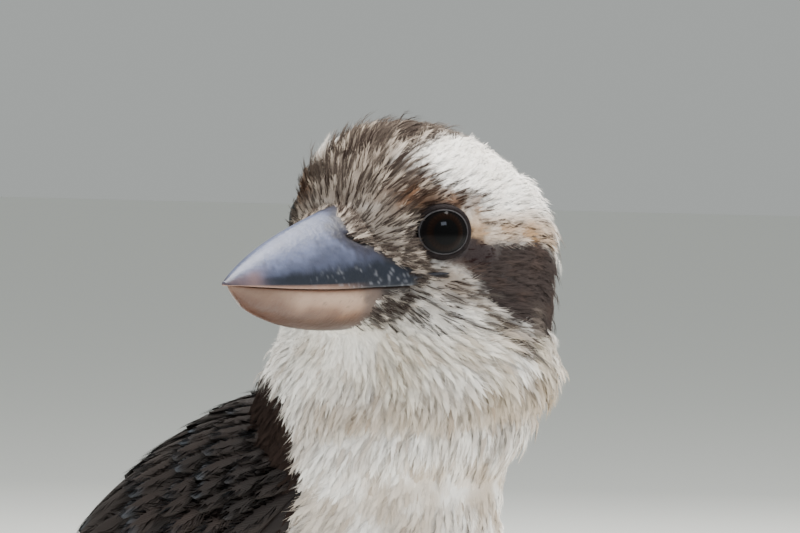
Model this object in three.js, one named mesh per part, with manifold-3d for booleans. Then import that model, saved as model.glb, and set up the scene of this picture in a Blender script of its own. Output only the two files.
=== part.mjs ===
// A laughing kookaburra at life size, standing, with its body half upright and its head
// turned over its right shoulder. Millimetres, +Z up, the breast faces -Y and the bird's
// left side is +X. Each named part is one closed solid, and parts that touch keep SEAM
// between them.
import * as THREE from "three";
import { mergeVertices } from "three/addons/utils/BufferGeometryUtils.js";
import Module from "manifold-3d";

const wasm = await Module();
wasm.setup();

// Driving dimensions, millimetres and degrees
const SEAM = 0.3;
const HEAD_CENTRE = { forward: 50, left: -3, up: 228 };
const HEAD_TURN = 81;
const HEAD_PITCH = 2;
const HEAD_ROLL = -4;
const BODY_SLOPE = 47;
const CULMEN = 63;
const BILL_BASE_X = 43;
const GAPE_HALF_WIDTH = 19;
const EYE_RADIUS = 9.2;
const EYE_APERTURE = 6.7;
const EYE_YAW = 50;
const EYE_RISE = 3;
const WING_LENGTH = 208;
const WING_CORE = 160;
const TAIL_LENGTH = 150;
const TAIL_SLOPE = 19;
const TARSUS = 30;
const VANE = 0.6;

const rad = THREE.MathUtils.degToRad;
const lerp = THREE.MathUtils.lerp;
const clamp = THREE.MathUtils.clamp;
const smooth = (t) => t * t * (3 - 2 * t);

// A point of the body, from its forward, left and up distances
const at = (forward, left, up) => new THREE.Vector3(left, -forward, up);

const point = ({ forward, left, up }) => at(forward, left, up);
const lineOf = (...points) => new THREE.CatmullRomCurve3(points, false, "centripetal");

// The head's own frame: x along the bill, y to the bird's left, z up
const headFrame = new THREE.Matrix4()
  .makeTranslation(at(HEAD_CENTRE.forward, HEAD_CENTRE.left, HEAD_CENTRE.up))
  .multiply(new THREE.Matrix4().makeRotationZ(-Math.PI / 2 - rad(HEAD_TURN)))
  .multiply(new THREE.Matrix4().makeRotationY(-rad(HEAD_PITCH)))
  .multiply(new THREE.Matrix4().makeRotationX(rad(HEAD_ROLL)));
// The body's frame: x forward, y to the left, z up
const bodyFrame = new THREE.Matrix4().makeRotationZ(-Math.PI / 2);

// Solids

const positionsOf = (geometry) => {
  const bare = geometry.clone();
  for (const name of Object.keys(bare.attributes)) {
    if (name !== "position") bare.deleteAttribute(name);
  }
  return mergeVertices(bare, 1e-4);
};

const solidOf = (geometry) => {
  const merged = positionsOf(geometry);
  return new wasm.Manifold(
    new wasm.Mesh({
      numProp: 3,
      vertProperties: new Float32Array(merged.attributes.position.array),
      triVerts: new Uint32Array(merged.index.array),
    }),
  );
};

const geometryOf = (solid) => {
  const mesh = solid.getMesh();
  return new THREE.BufferGeometry()
    .setAttribute("position", new THREE.BufferAttribute(mesh.vertProperties, 3))
    .setIndex(new THREE.BufferAttribute(mesh.triVerts, 1));
};

const joined = (solids) => solids.reduce((whole, piece) => whole.add(piece));

const largestOf = (solid) => {
  const pieces = solid.decompose();
  return pieces.reduce((a, b) => (b.volume() > a.volume() ? b : a));
};

// A closed mesh from rings of points in order, each end closed by a fan to one point
const loft = (rings, first, last) => {
  const points = [first, ...rings.flat(), last];
  const around = rings[0].length;
  const index = [];
  const corner = (ring, i) => 1 + ring * around + (i % around);
  for (let i = 0; i < around; i++) {
    index.push(0, corner(0, i + 1), corner(0, i));
    index.push(points.length - 1, corner(rings.length - 1, i), corner(rings.length - 1, i + 1));
    for (let ring = 0; ring + 1 < rings.length; ring++) {
      const a = corner(ring, i);
      const b = corner(ring, i + 1);
      const c = corner(ring + 1, i);
      const d = corner(ring + 1, i + 1);
      index.push(a, b, d, a, d, c);
    }
  }
  return new THREE.BufferGeometry().setFromPoints(points).setIndex(index);
};

// Rings of an ellipse round a path, for bills, toes, claws and shanks
const tube = (path, radiiAt, up, steps, around) => {
  const rings = [];
  for (let k = 0; k <= steps; k++) {
    const t = k / steps;
    const centre = path.getPoint(t);
    const tangent = path.getTangent(t);
    const side = new THREE.Vector3().crossVectors(up, tangent).normalize();
    const top = new THREE.Vector3().crossVectors(tangent, side);
    const [across, high] = radiiAt(t);
    rings.push(
      Array.from({ length: around }, (_, i) => {
        const angle = (2 * Math.PI * i) / around;
        return centre
          .clone()
          .addScaledVector(side, across * Math.cos(angle))
          .addScaledVector(top, high * Math.sin(angle));
      }),
    );
  }
  return loft(rings, path.getPoint(0), path.getPoint(1));
};

// The plumage's smooth form: ellipsoids that melt into one another

const MELT = 5;

const lump = (frame, [x, y, z], radii, pitch = 0, yaw = 0) => ({
  inverse: frame
    .clone()
    .multiply(new THREE.Matrix4().makeTranslation(x, y, z))
    .multiply(new THREE.Matrix4().makeRotationZ(rad(yaw)))
    .multiply(new THREE.Matrix4().makeRotationY(-rad(pitch)))
    .invert(),
  radii: new THREE.Vector3(...radii),
});

const bothSides = (frame, [x, y, z], radii, pitch = 0, yaw = 0) => [
  lump(frame, [x, y, z], radii, pitch, yaw),
  lump(frame, [x, -y, z], radii, pitch, -yaw),
];

const distanceTo = (point, { inverse, radii }) => {
  const q = point.clone().applyMatrix4(inverse).divide(radii);
  const k0 = q.length();
  const k1 = q.divide(radii).length();
  return k1 < 1e-9 ? -Math.min(...radii) : (k0 * (k0 - 1)) / k1;
};

const melted = (point, lumps) => {
  const sum = lumps.reduce((total, one) => total + Math.exp(-distanceTo(point, one) / MELT), 0);
  return -MELT * Math.log(sum);
};

const headLumps = [
  lump(headFrame, [0, 0, 12], [30, 25, 21]),
  lump(headFrame, [24, -1, 9], [18, 17, 20]),
  lump(headFrame, [19, 0, -6], [19, 18, 14]),
  ...bothSides(headFrame, [-10, 15, -9], [26, 21, 20]),
  ...bothSides(headFrame, [-18, 13, 5], [18, 20, 16]),
  ...bothSides(headFrame, [18.2, 17.8, 3], [4.4, 11.5, 10.5], EYE_RISE, EYE_YAW),
  ...bothSides(headFrame, [29, 6.5, 0], [13, 8, 12]),
  lump(headFrame, [6, 0, -17], [22, 17, 12]),
];
const neckLumps = [
  lump(bodyFrame, [50, 2, 197], [38, 39, 26]),
  lump(bodyFrame, [39, 1, 172], [45, 42, 29], 24),
  lump(bodyFrame, [28, -4, 187], [23, 28, 20], 40),
];
const torsoLumps = [
  lump(bodyFrame, [-18, 0, 114], [72, 44, 41], BODY_SLOPE),
  lump(bodyFrame, [26, 0, 138], [44, 46, 48], BODY_SLOPE),
  lump(bodyFrame, [7, 0, 110], [52, 42, 41], BODY_SLOPE + 14),
  lump(bodyFrame, [-42, 0, 84], [42, 35, 30], BODY_SLOPE - 12),
];
const rumpLumps = [
  lump(bodyFrame, [-78, 0, 63], [40, 17, 8.5], 24),
  lump(bodyFrame, [-74, 0, 57], [36, 15, 9], 16),
];
const plumage = [...headLumps, ...neckLumps, ...torsoLumps, ...rumpLumps];

// How far from a centre the form reaches in a direction
const reach = (centre, direction, lumps, offset = 0) => {
  const STEP = 2;
  const FAR = 130;
  const value = (r) => melted(centre.clone().addScaledVector(direction, r), lumps) - offset;
  let r = STEP;
  while (r < FAR && value(r) < 0) r += STEP;
  let inside = r - STEP;
  let outside = r;
  for (let i = 0; i < 12; i++) {
    const middle = (inside + outside) / 2;
    if (value(middle) < 0) inside = middle;
    else outside = middle;
  }
  return inside;
};

// The line that the rings of plumage stand on, from the tail's coverts to the head's middle
const spine = new THREE.CatmullRomCurve3(
  [
    at(-98, 0, 53),
    at(-76, 0, 62),
    at(-50, 0, 80),
    at(-18, 0, 114),
    at(12, 0, 146),
    at(36, 0, 174),
    at(49, -1, 204),
    at(50, -3, 234),
  ],
  false,
  "centripetal",
);

const RINGS = 30;
const AROUND = 28;
const TAIL_TILTS = [-60, -30];
const CROWN_TILTS = [16, 32, 48, 63, 77];

const plumageSolid = (offset) => {
  const cast = (centre, direction) =>
    centre.clone().addScaledVector(direction, reach(centre, direction, plumage, offset));
  const ringAt = (share, tilt) => {
    const centre = spine.getPointAt(share);
    const tangent = spine.getTangentAt(share);
    const side = new THREE.Vector3(1, 0, 0);
    const back = new THREE.Vector3().crossVectors(side, tangent).normalize();
    return Array.from({ length: AROUND }, (_, i) => {
      const angle = (2 * Math.PI * i) / AROUND;
      const direction = side
        .clone()
        .multiplyScalar(Math.cos(angle) * Math.cos(rad(tilt)))
        .addScaledVector(back, -Math.sin(angle) * Math.cos(rad(tilt)))
        .addScaledVector(tangent, Math.sin(rad(tilt)));
      return cast(centre, direction.normalize());
    });
  };
  const rings = [
    ...TAIL_TILTS.map((tilt) => ringAt(0, tilt)),
    ...Array.from({ length: RINGS }, (_, k) => ringAt(k / (RINGS - 1), 0)),
    ...CROWN_TILTS.map((tilt) => ringAt(1, tilt)),
  ];
  const start = cast(spine.getPointAt(0), spine.getTangentAt(0).negate());
  const end = cast(spine.getPointAt(1), spine.getTangentAt(1));
  return solidOf(loft(rings, start, end));
};

// The bill, in the head's frame: two mandibles that meet along the line of the mouth

const BILL_TIP_X = BILL_BASE_X + CULMEN * 0.98;
const BILL_ROOT_X = 6;
const CULMEN_TOP = 9.5;
const TIP_UP = -13.5;
const GAPE_X = 20;
const GAPE_UP = -11;
const MOUTH_SAG = 1.5;
const JAW_DEPTH = 14;
const NOSTRIL = { x: 46.5, y: 11.6, z: 0.8 };

const billShare = (x) => clamp((x - GAPE_X) / (BILL_TIP_X - GAPE_X), 0, 1);
const billHalfWidth = (x) => GAPE_HALF_WIDTH * Math.pow(1 - Math.pow(billShare(x), 1.35), 0.8);
const mouthUp = (x) => {
  const t = (x - GAPE_X) / (BILL_TIP_X - GAPE_X);
  return lerp(GAPE_UP, TIP_UP, t) - MOUTH_SAG * Math.sin(Math.PI * clamp(t, 0, 1));
};
const culmenUp = (x) => {
  const t = (x - BILL_BASE_X) / (BILL_TIP_X - BILL_BASE_X);
  return lerp(CULMEN_TOP, TIP_UP, 0.72 * t + 0.28 * Math.pow(Math.max(t, 0), 4));
};
const jawDepth = (x) => {
  const t = clamp((x - GAPE_X) / (BILL_TIP_X - GAPE_X), 0, 1);
  return JAW_DEPTH * Math.pow(1 - Math.pow(t, 2.6), 0.8);
};

// A mandible's section: flat along the mouth, and a rounded ridge on the other side
const mandible = (tipX, halfWidth, height, fullness, side) => {
  const STATIONS = 13;
  const ARC = 12;
  const rings = [];
  for (let k = 0; k < STATIONS; k++) {
    const x = lerp(BILL_ROOT_X, tipX - 0.5, 1 - Math.pow(1 - k / (STATIONS - 1), 1.5));
    const mouth = mouthUp(x) + (side * SEAM) / 2;
    const ring = [];
    for (let i = 0; i <= ARC; i++) {
      const angle = (Math.PI * i) / ARC;
      const across = Math.sign(Math.cos(angle)) * Math.pow(Math.abs(Math.cos(angle)), 2 / fullness);
      const high = Math.pow(Math.sin(angle), 2 / fullness);
      ring.push(new THREE.Vector3(x, side * across * halfWidth(x), mouth + side * high * height(x)));
    }
    rings.push(ring.map((p) => p.applyMatrix4(headFrame)));
  }
  const first = new THREE.Vector3(BILL_ROOT_X, 0, mouthUp(BILL_ROOT_X) + side).applyMatrix4(headFrame);
  const last = new THREE.Vector3(tipX, 0, mouthUp(tipX) + side * 0.4).applyMatrix4(headFrame);
  return solidOf(loft(rings, first, last));
};

const upperBill = () =>
  mandible(BILL_TIP_X, billHalfWidth, (x) => Math.max(culmenUp(x) - mouthUp(x), 0.8), 1.7, 1);
const lowerBill = () =>
  mandible(BILL_TIP_X - 4, (x) => 0.93 * billHalfWidth(x), jawDepth, 2.2, -1);

// A slit nostril on each side, near the bill's feathered root
const nostrils = () =>
  [1, -1].map((side) => {
    const slit = new THREE.SphereGeometry(1, 8, 5);
    slit.scale(3.2, 1.6, 0.8);
    slit.rotateY(rad(14));
    slit.translate(NOSTRIL.x, side * NOSTRIL.y, NOSTRIL.z);
    return solidOf(slit.applyMatrix4(headFrame));
  });

// The line of the mouth runs on behind the bill, as a crease in the cheek
const creaseOf = (side) => {
  const from = new THREE.Vector3(0, 0, GAPE_UP).applyMatrix4(headFrame);
  const spot = (degrees, up) => {
    const direction = new THREE.Vector3(
      Math.cos(rad(degrees)),
      side * Math.sin(rad(degrees)),
      up,
    ).transformDirection(headFrame);
    return from.clone().addScaledVector(direction, reach(from, direction, plumage));
  };
  const path = lineOf(spot(30, 0.01), spot(37, 0.03), spot(44, 0.07));
  const radii = (t) => [0.75 - 0.35 * t, 0.5 - 0.2 * t];
  return solidOf(tube(path, radii, new THREE.Vector3(0, 0, 1), 4, 6));
};

// The eyes

const eyeOf = (side) => {
  const axis = new THREE.Vector3(
    Math.cos(rad(EYE_YAW)) * Math.cos(rad(EYE_RISE)),
    side * Math.sin(rad(EYE_YAW)) * Math.cos(rad(EYE_RISE)),
    Math.sin(rad(EYE_RISE)),
  ).transformDirection(headFrame);
  const from = new THREE.Vector3(4, 0, 2).applyMatrix4(headFrame);
  const aperture = from.clone().addScaledVector(axis, reach(from, axis, plumage) - 0.8);
  const sunk = Math.sqrt(EYE_RADIUS ** 2 - EYE_APERTURE ** 2);
  return { axis, aperture, centre: aperture.clone().addScaledVector(axis, -sunk) };
};

const ball = ({ centre, axis }, radius, wide = 18, high = 9) => {
  const geometry = new THREE.SphereGeometry(radius, wide, high);
  geometry.applyQuaternion(new THREE.Quaternion().setFromUnitVectors(new THREE.Vector3(0, 1, 0), axis));
  geometry.translate(centre.x, centre.y, centre.z);
  return solidOf(geometry);
};

// The lid is a ring that lies on the eyeball, all round the opening
const LID_WIDTH = 1.15;
const lidOf = (eye) => {
  const ring = new THREE.TorusGeometry(EYE_APERTURE + 0.3, LID_WIDTH, 5, 18);
  ring.applyQuaternion(new THREE.Quaternion().setFromUnitVectors(new THREE.Vector3(0, 0, 1), eye.axis));
  ring.translate(eye.aperture.x, eye.aperture.y, eye.aperture.z);
  return solidOf(ring);
};

// The wings: laid back along a line from the shoulder to above the tail. A point of a wing is
// given by its distance along the line, the angle round it (0 out to the side, 90 up the
// back) and its height over the body.

const SHOULDER = { forward: 42, up: 158 };
const WING_SLOPE = 32.5;
const wingAlong = at(-Math.cos(rad(WING_SLOPE)), 0, -Math.sin(rad(WING_SLOPE)));
const wingUp = at(-Math.sin(rad(WING_SLOPE)), 0, Math.cos(rad(WING_SLOPE)));
const wingCentre = (s) => at(SHOULDER.forward, 0, SHOULDER.up).addScaledVector(wingAlong, s);
const wingBed = [
  ...torsoLumps,
  lump(bodyFrame, [-62, 0, 90], [80, 30, 17], WING_SLOPE),
  lump(bodyFrame, [-104, 0, 64], [52, 19, 8], WING_SLOPE),
];
const wingDirection = (theta) =>
  new THREE.Vector3(Math.cos(theta), 0, 0).addScaledVector(wingUp, Math.sin(theta));

// The bed's radius, found once on a grid and read between its points
const BED_STEP = 6;
const BED_ANGLES = 24;
const BED_LOW = rad(-70);
const BED_SPAN = rad(170);
const bedGrid = Array.from({ length: 40 }, (_, i) =>
  Array.from({ length: BED_ANGLES + 1 }, (_, j) => {
    const centre = wingCentre(i * BED_STEP - 12);
    const direction = wingDirection(BED_LOW + (BED_SPAN * j) / BED_ANGLES);
    return melted(centre, wingBed) < 0 ? reach(centre, direction, wingBed) : 0;
  }),
);
const bedRadius = (s, theta) => {
  const u = clamp((s + 12) / BED_STEP, 0, bedGrid.length - 1.001);
  const v = clamp(((theta - BED_LOW) / BED_SPAN) * BED_ANGLES, 0, BED_ANGLES - 0.001);
  const [i, j] = [Math.floor(u), Math.floor(v)];
  const low = lerp(bedGrid[i][j], bedGrid[i][j + 1], v - j);
  const high = lerp(bedGrid[i + 1][j], bedGrid[i + 1][j + 1], v - j);
  return Math.max(lerp(low, high, u - i), 3);
};
const wingPoint = (s, theta, height) =>
  wingCentre(s).addScaledVector(wingDirection(theta), bedRadius(s, theta) + height);

// The folded wing's lower and upper edges, as angles, and its thickness over the bed
const wingLow = (s) => rad(lerp(-34, 38, Math.pow(clamp(s / 200, 0, 1), 1.6)));
const wingHigh = (s) =>
  rad(lerp(62, 86, smooth(clamp(s / 60, 0, 1))) - 8 * smooth(clamp((s - 150) / 60, 0, 1)));
const wingHeight = (s) =>
  lerp(1.8, 1.2, smooth(clamp(s / 140, 0, 1))) + 10 * Math.pow(Math.sin(Math.PI * clamp(s / 160, 0, 1)), 2.4);
const wingRound = (share) => Math.pow(Math.sin(Math.PI * lerp(0.06, 0.94, share)), 0.6);
// The shoulder bulges forward between the wing's edges
const shoulderLead = (s, theta) =>
  21 * Math.pow(1 - clamp(s / 110, 0, 1), 2) * smooth(clamp((theta - rad(2)) / rad(45), 0, 1));

const wingSpan = (s) => [wingLow(s), wingHigh(s)];
const wingTop = (s, theta) => {
  const [low, high] = wingSpan(s);
  return wingHeight(s) * wingRound(clamp((theta - low) / (high - low), 0, 1));
};

const WING_STATIONS = 15;
const WING_ARC = 8;
const WING_FLOOR = -2.2;
const wingCore = (length) => {
  const rings = [];
  for (let k = 0; k <= WING_STATIONS; k++) {
    const t = k / WING_STATIONS;
    const s = lerp(-4, length, t);
    const swell = Math.sqrt(clamp(t / 0.1, 0.02, 1)) * Math.sqrt(clamp((1 - t) / 0.1, 0.05, 1));
    const [low, high] = wingSpan(s);
    const half = ((high - low) / 2) * swell;
    const thetaAt = (share) => lerp((low + high) / 2 - half, (low + high) / 2 + half, share);
    const outer = [];
    const inner = [];
    for (let i = 0; i <= WING_ARC; i++) {
      const theta = thetaAt(i / WING_ARC);
      const station = s - shoulderLead(s, theta);
      outer.push(wingPoint(station, theta, wingHeight(s) * wingRound(i / WING_ARC) * swell));
      inner.push(wingPoint(station, theta, WING_FLOOR));
    }
    rings.push([...inner, ...outer.reverse()]);
  }
  const middleOf = (s) => (wingLow(s) + wingHigh(s)) / 2;
  const start = wingPoint(-6 - shoulderLead(0, middleOf(0)), middleOf(0), 0);
  return solidOf(loft(rings, start, wingPoint(length + 1, middleOf(length), 0)));
};

// Feathers: thin vanes that lie on a surface, each with a shaft line and two edges. A place
// turns (along, across, height) into a point of the surface.

const FULLNESS = [0.55, 0.9, 1, 0.95, 0.72];
const vaneOf = (place, { root, tip, width, rise, tilt, rows, sink = 0, leftHanded = false }) => {
  const [du, dv] = [tip[0] - root[0], tip[1] - root[1]];
  const length = Math.hypot(du, dv);
  const cornerAt = (t, half, side, lift) => {
    const along = t * length;
    const across = side * half;
    const deep = lift > 0 ? 0 : sink * (1 - Math.pow(t, 4));
    const height = lerp(rise[0], rise[1], Math.pow(t, 1.2)) - tilt * side + lift - deep;
    return place(
      root[0] + (du * along - dv * across) / length,
      root[1] + (dv * along + du * across) / length,
      height,
    );
  };
  const points = [];
  for (const lift of [0, VANE]) {
    for (let row = 0; row < rows; row++) {
      const t = (0.93 * row) / (rows - 1);
      const share = (FULLNESS.length - 1) * (row / (rows - 1));
      const below = Math.min(Math.floor(share), FULLNESS.length - 2);
      const half = (width / 2) * lerp(FULLNESS[below], FULLNESS[below + 1], share - below);
      for (const side of [-1, 0, 1]) points.push(cornerAt(t, half, side, lift));
    }
    points.push(cornerAt(1, 0, 0, lift));
  }
  const face = rows * 3 + 1;
  const index = [];
  const quad = (a, b, c, d) => index.push(a, b, c, a, c, d);
  for (let row = 0; row + 1 < rows; row++) {
    for (const column of [0, 1]) {
      const a = row * 3 + column;
      quad(a, a + 3, a + 4, a + 1);
      quad(face + a, face + a + 1, face + a + 4, face + a + 3);
    }
    const edge = row * 3;
    quad(edge, face + edge, face + edge + 3, edge + 3);
    quad(edge + 2, edge + 5, face + edge + 5, face + edge + 2);
  }
  const end = (rows - 1) * 3;
  const point = rows * 3;
  for (const column of [0, 1]) {
    index.push(end + column, point, end + column + 1);
    index.push(face + end + column, face + end + column + 1, face + point);
    quad(column, column + 1, face + column + 1, face + column);
  }
  quad(end, face + end, face + point, point);
  quad(end + 2, point, face + point, face + end + 2);
  if (!leftHanded) index.reverse();
  return solidOf(new THREE.BufferGeometry().setFromPoints(points).setIndex(index));
};

const wingRadius = (s) => bedRadius(s, (wingLow(s) + wingHigh(s)) / 2) + 6;
const onWing = (s, across, height) => {
  const theta = across / wingRadius(s);
  const top = s < 0 ? wingTop(0, theta) + s * 0.35 : wingTop(s, theta);
  return wingPoint(s - shoulderLead(s, theta), theta, top + height);
};
const spread = (count, make) => Array.from({ length: count }, (_, i) => make(i / (count - 1), i));
const wingVane = ([s0, share0], [s1, share1], width, rise, tilt, rows, sink) => {
  const across = (s, share) => lerp(wingLow(s), wingHigh(s), share) * wingRadius(s);
  return vaneOf(onWing, {
    root: [s0, across(s0, share0)],
    tip: [s1, across(s1, share1)],
    width,
    rise,
    tilt,
    rows,
    sink,
  });
};

// Seeded scatter, so the feathers don't stand in ruled lines
const scatter = (seed) => {
  let state = seed;
  return () => {
    state = (state * 1664525 + 1013904223) % 4294967296;
    return state / 4294967296 - 0.5;
  };
};

const wingVanes = () => {
  const random = scatter(7);
  // Each tier runs from the wing's lower edge (a = 0) to its upper edge (a = 1)
  const tier = ({ count, roots, tips, width, rise, tilt, rows, sink }) =>
    spread(count, (a) => {
      const [rootAt, rootLow, rootHigh] = roots(a);
      const [tipAt, tipLow, tipHigh] = tips(a);
      const root = [rootAt, lerp(rootLow, rootHigh, a)];
      const tip = [tipAt + 3 * random(), lerp(tipLow, tipHigh, a)];
      return wingVane(root, tip, width(a), rise, tilt, rows, sink);
    });
  const primaries = tier({
    count: 5,
    roots: (a) => [78 - 10 * a, 0.02, 0.34],
    tips: (a) => [WING_LENGTH - 34 * a, 0.1, 0.34],
    width: () => 16,
    rise: [-1.4, 0.4],
    tilt: 0.5,
    rows: 4,
    sink: 1,
  });
  const secondaries = tier({
    count: 5,
    roots: () => [62, 0.12, 0.74],
    tips: (a) => [168 - 36 * a, 0.14, 0.72],
    width: (a) => 23 + 3 * a,
    rise: [-1.2, 1.4],
    tilt: 0.6,
    rows: 4,
    sink: 2,
  });
  const greaterCoverts = tier({
    count: 5,
    roots: () => [46, 0.05, 0.72],
    tips: (a) => [96 - 8 * a, 0.04, 0.7],
    width: () => 20,
    rise: [-1.6, 2.2],
    tilt: 0.6,
    rows: 3,
    sink: 4,
  });
  const medianCoverts = tier({
    count: 4,
    roots: () => [28, 0.08, 0.72],
    tips: (a) => [64 - 6 * a, 0.06, 0.7],
    width: () => 20,
    rise: [-1.6, 2],
    tilt: 0.6,
    rows: 3,
    sink: 4,
  });
  const lesserCoverts = tier({
    count: 4,
    roots: () => [4, 0.16, 0.78],
    tips: (a) => [36 - 6 * a, 0.12, 0.74],
    width: () => 18,
    rise: [-1.6, 1.7],
    tilt: 0.5,
    rows: 3,
    sink: 4,
  });
  const scapulars = tier({
    count: 4,
    roots: (a) => [-6 + 26 * a, 0.8, 0.9],
    tips: (a) => [44 + 62 * a, 0.76, 0.86],
    width: () => 20,
    rise: [-1.6, 2],
    tilt: 0.4,
    rows: 3,
    sink: 4,
  });
  return [
    ...primaries,
    ...secondaries,
    ...greaterCoverts,
    ...medianCoverts,
    ...lesserCoverts,
    ...scapulars,
  ];
};

// The tail

const TAIL_ROOT = { forward: -62, up: 64 };
const tailFrame = bodyFrame
  .clone()
  .multiply(new THREE.Matrix4().makeTranslation(TAIL_ROOT.forward, 0, TAIL_ROOT.up))
  .multiply(new THREE.Matrix4().makeRotationY(-rad(TAIL_SLOPE)));
const tailPoint = (along, left, up) => new THREE.Vector3(-along, left, up).applyMatrix4(tailFrame);

const TAIL_CORE = 62;
const tailCore = () => {
  const rings = [];
  const STATIONS = 6;
  for (let k = 0; k <= STATIONS; k++) {
    const t = k / STATIONS;
    const half = lerp(11, 13.5, t);
    const thick = lerp(7, 0.9, Math.pow(t, 0.8));
    rings.push(
      Array.from({ length: 16 }, (_, i) => {
        const angle = (2 * Math.PI * i) / 16;
        return tailPoint(TAIL_CORE * t, half * Math.cos(angle), -thick * Math.sin(angle));
      }),
    );
  }
  return solidOf(loft(rings, tailPoint(0, 0, 0), tailPoint(TAIL_CORE, 0, 0)));
};

const TAIL_FEATHERS = 12;
const FEATHER_WIDTH = 19;
const tailVanes = () =>
  Array.from({ length: TAIL_FEATHERS }, (_, i) => {
    const order = i - (TAIL_FEATHERS - 1) / 2;
    const outward = Math.sign(order);
    const rank = Math.abs(order) - 0.5;
    return vaneOf((along, left, up) => tailPoint(along, left, up), {
      root: [12, 1.3 * order],
      tip: [TAIL_LENGTH - 0.55 * rank * rank, 2.75 * order],
      width: FEATHER_WIDTH,
      rise: [i === 6 ? 0.6 : 0, (i === 6 ? 0.7 : 0) - 0.42 * rank],
      tilt: i === 6 ? 0 : -0.55 * outward,
      rows: 4,
      leftHanded: true,
    });
  });

// The legs: short shanks under feathered thighs, three toes forward and one back

const LEG_SIDE = 22;
const SOLE_AT = 8;
const TOE_BASE = { forward: SOLE_AT, left: LEG_SIDE, up: 5.5 };
const ANKLE = { forward: SOLE_AT - 15, left: LEG_SIDE - 1, up: 5.5 + TARSUS * 0.86 };
const HIP = { forward: SOLE_AT - 16, left: 20, up: 84 };

const TOES = [
  { turn: 24, length: 18, radius: 2.3 },
  { turn: 2, length: 27, radius: 2.6 },
  { turn: -10, length: 24, radius: 2.5 },
  { turn: 186, length: 15, radius: 2.4 },
];
const TOE_UP = 1.85;
const CLAW_LENGTH = 8;

const toePath = ({ turn, length }) => {
  const outward = -turn;
  const toward = (distance, up) =>
    at(
      TOE_BASE.forward + distance * Math.cos(rad(outward)),
      TOE_BASE.left + distance * Math.sin(rad(outward)),
      up,
    );
  return lineOf(
    toward(0, 4.2),
    toward(length * 0.3, TOE_UP + 0.5),
    toward(length * 0.7, TOE_UP),
    toward(length, TOE_UP + 0.3),
  );
};
const toeOf = (toe) => {
  const pads = (t) => 1 + 0.06 * Math.cos(t * 6 * Math.PI);
  const radii = (t) => {
    const r = toe.radius * lerp(1.05, 0.74, t) * pads(t);
    return [r, r];
  };
  return solidOf(tube(toePath(toe), radii, new THREE.Vector3(0, 0, 1), 6, 7));
};
const clawOf = (toe) => {
  const path = toePath(toe);
  const end = path.getPoint(1);
  const away = path.getTangent(1).setZ(0).normalize();
  const along = (distance, up) => end.clone().addScaledVector(away, distance).setZ(up);
  const claw = lineOf(
    along(SEAM, end.z),
    along(SEAM + CLAW_LENGTH * 0.4, end.z + 0.7),
    along(SEAM + CLAW_LENGTH * 0.8, end.z - 0.2),
    along(SEAM + CLAW_LENGTH, 0.7),
  );
  const radii = (t) => {
    const r = Math.max(1.35 * (1 - Math.pow(t, 1.6)), 0.16);
    return [r * 0.8, r];
  };
  return solidOf(tube(claw, radii, new THREE.Vector3(0, 0, 1), 5, 5));
};
const shankOf = () => {
  const bend = point({
    forward: (ANKLE.forward + TOE_BASE.forward) / 2 - 0.8,
    left: (ANKLE.left + TOE_BASE.left) / 2,
    up: (ANKLE.up + TOE_BASE.up) / 2,
  });
  const path = lineOf(point(ANKLE), bend, point(TOE_BASE));
  const radii = (t) => {
    const r = lerp(3.4, 2.7, Math.sqrt(t)) + 0.7 * Math.pow(t, 8);
    return [r, r * 1.1];
  };
  const heel = ball({ centre: point(ANKLE), axis: at(0, 0, 1) }, 3.8, 7, 4);
  return solidOf(tube(path, radii, at(1, 0, 0), 6, 8)).add(heel);
};
const footOf = () => {
  const palm = ball({ centre: at(TOE_BASE.forward, TOE_BASE.left, 4), axis: at(0, 0, 1) }, 3.9, 7, 4);
  return joined([shankOf(), ...TOES.map(toeOf), palm]).trimByPlane([0, 0, 1], 0);
};

const THIGH_STEPS = 10;
const thighOf = () => {
  const knee = at(
    (HIP.forward + ANKLE.forward) / 2 + 4,
    (HIP.left + ANKLE.left) / 2 + 1.5,
    (HIP.up + ANKLE.up) / 2,
  );
  const path = lineOf(point(HIP), knee, at(ANKLE.forward + 0.5, ANKLE.left, ANKLE.up + 1));
  const radii = (t) => {
    const full = Math.sqrt(clamp(t / 0.3, 0.05, 1));
    return [full * lerp(17, 6, Math.pow(t, 0.9)), full * lerp(25, 6.5, Math.pow(t, 0.85))];
  };
  return solidOf(tube(path, radii, at(1, 0, 0), THIGH_STEPS, 16));
};

// The bird, part by part

const NECK_PLANE = { point: at(50, 0, 201), normal: new THREE.Vector3(0, 0.16, 1).normalize() };
const BREAST_PLANE = { point: spine.getPointAt(0.6), normal: spine.getTangentAt(0.6) };
const TAIL_PLANE = { point: spine.getPointAt(0.1), normal: spine.getTangentAt(0.1) };
const above = (solid, plane) =>
  solid.trimByPlane(plane.normal.toArray(), plane.normal.dot(plane.point) + SEAM / 2);
const below = (solid, plane) =>
  solid.trimByPlane(plane.normal.clone().negate().toArray(), -plane.normal.dot(plane.point) + SEAM / 2);

const whole = plumageSolid(0);
const around = plumageSolid(SEAM);
const eyes = [1, -1].map(eyeOf);
const mirrored = (solid) => solid.mirror([1, 0, 0]);

const head = eyes.reduce(
  (solid, eye) => solid.add(lidOf(eye)).subtract(ball(eye, EYE_RADIUS + SEAM)),
  [1, -1].map(creaseOf).reduce((solid, crease) => solid.subtract(crease), above(whole, NECK_PLANE)),
);
const neck = above(below(whole, NECK_PLANE), BREAST_PLANE);
const torso = above(below(whole, BREAST_PLANE), TAIL_PLANE);
const rump = below(whole, TAIL_PLANE);

const tail = largestOf(rump.add(below(joined([tailCore(), ...tailVanes()]), TAIL_PLANE)));
const foot = footOf();
const thigh = thighOf().subtract(foot);
const wing = joined([wingCore(WING_CORE), ...wingVanes()]).trimByPlane([1, 0, 0], SEAM);

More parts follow.
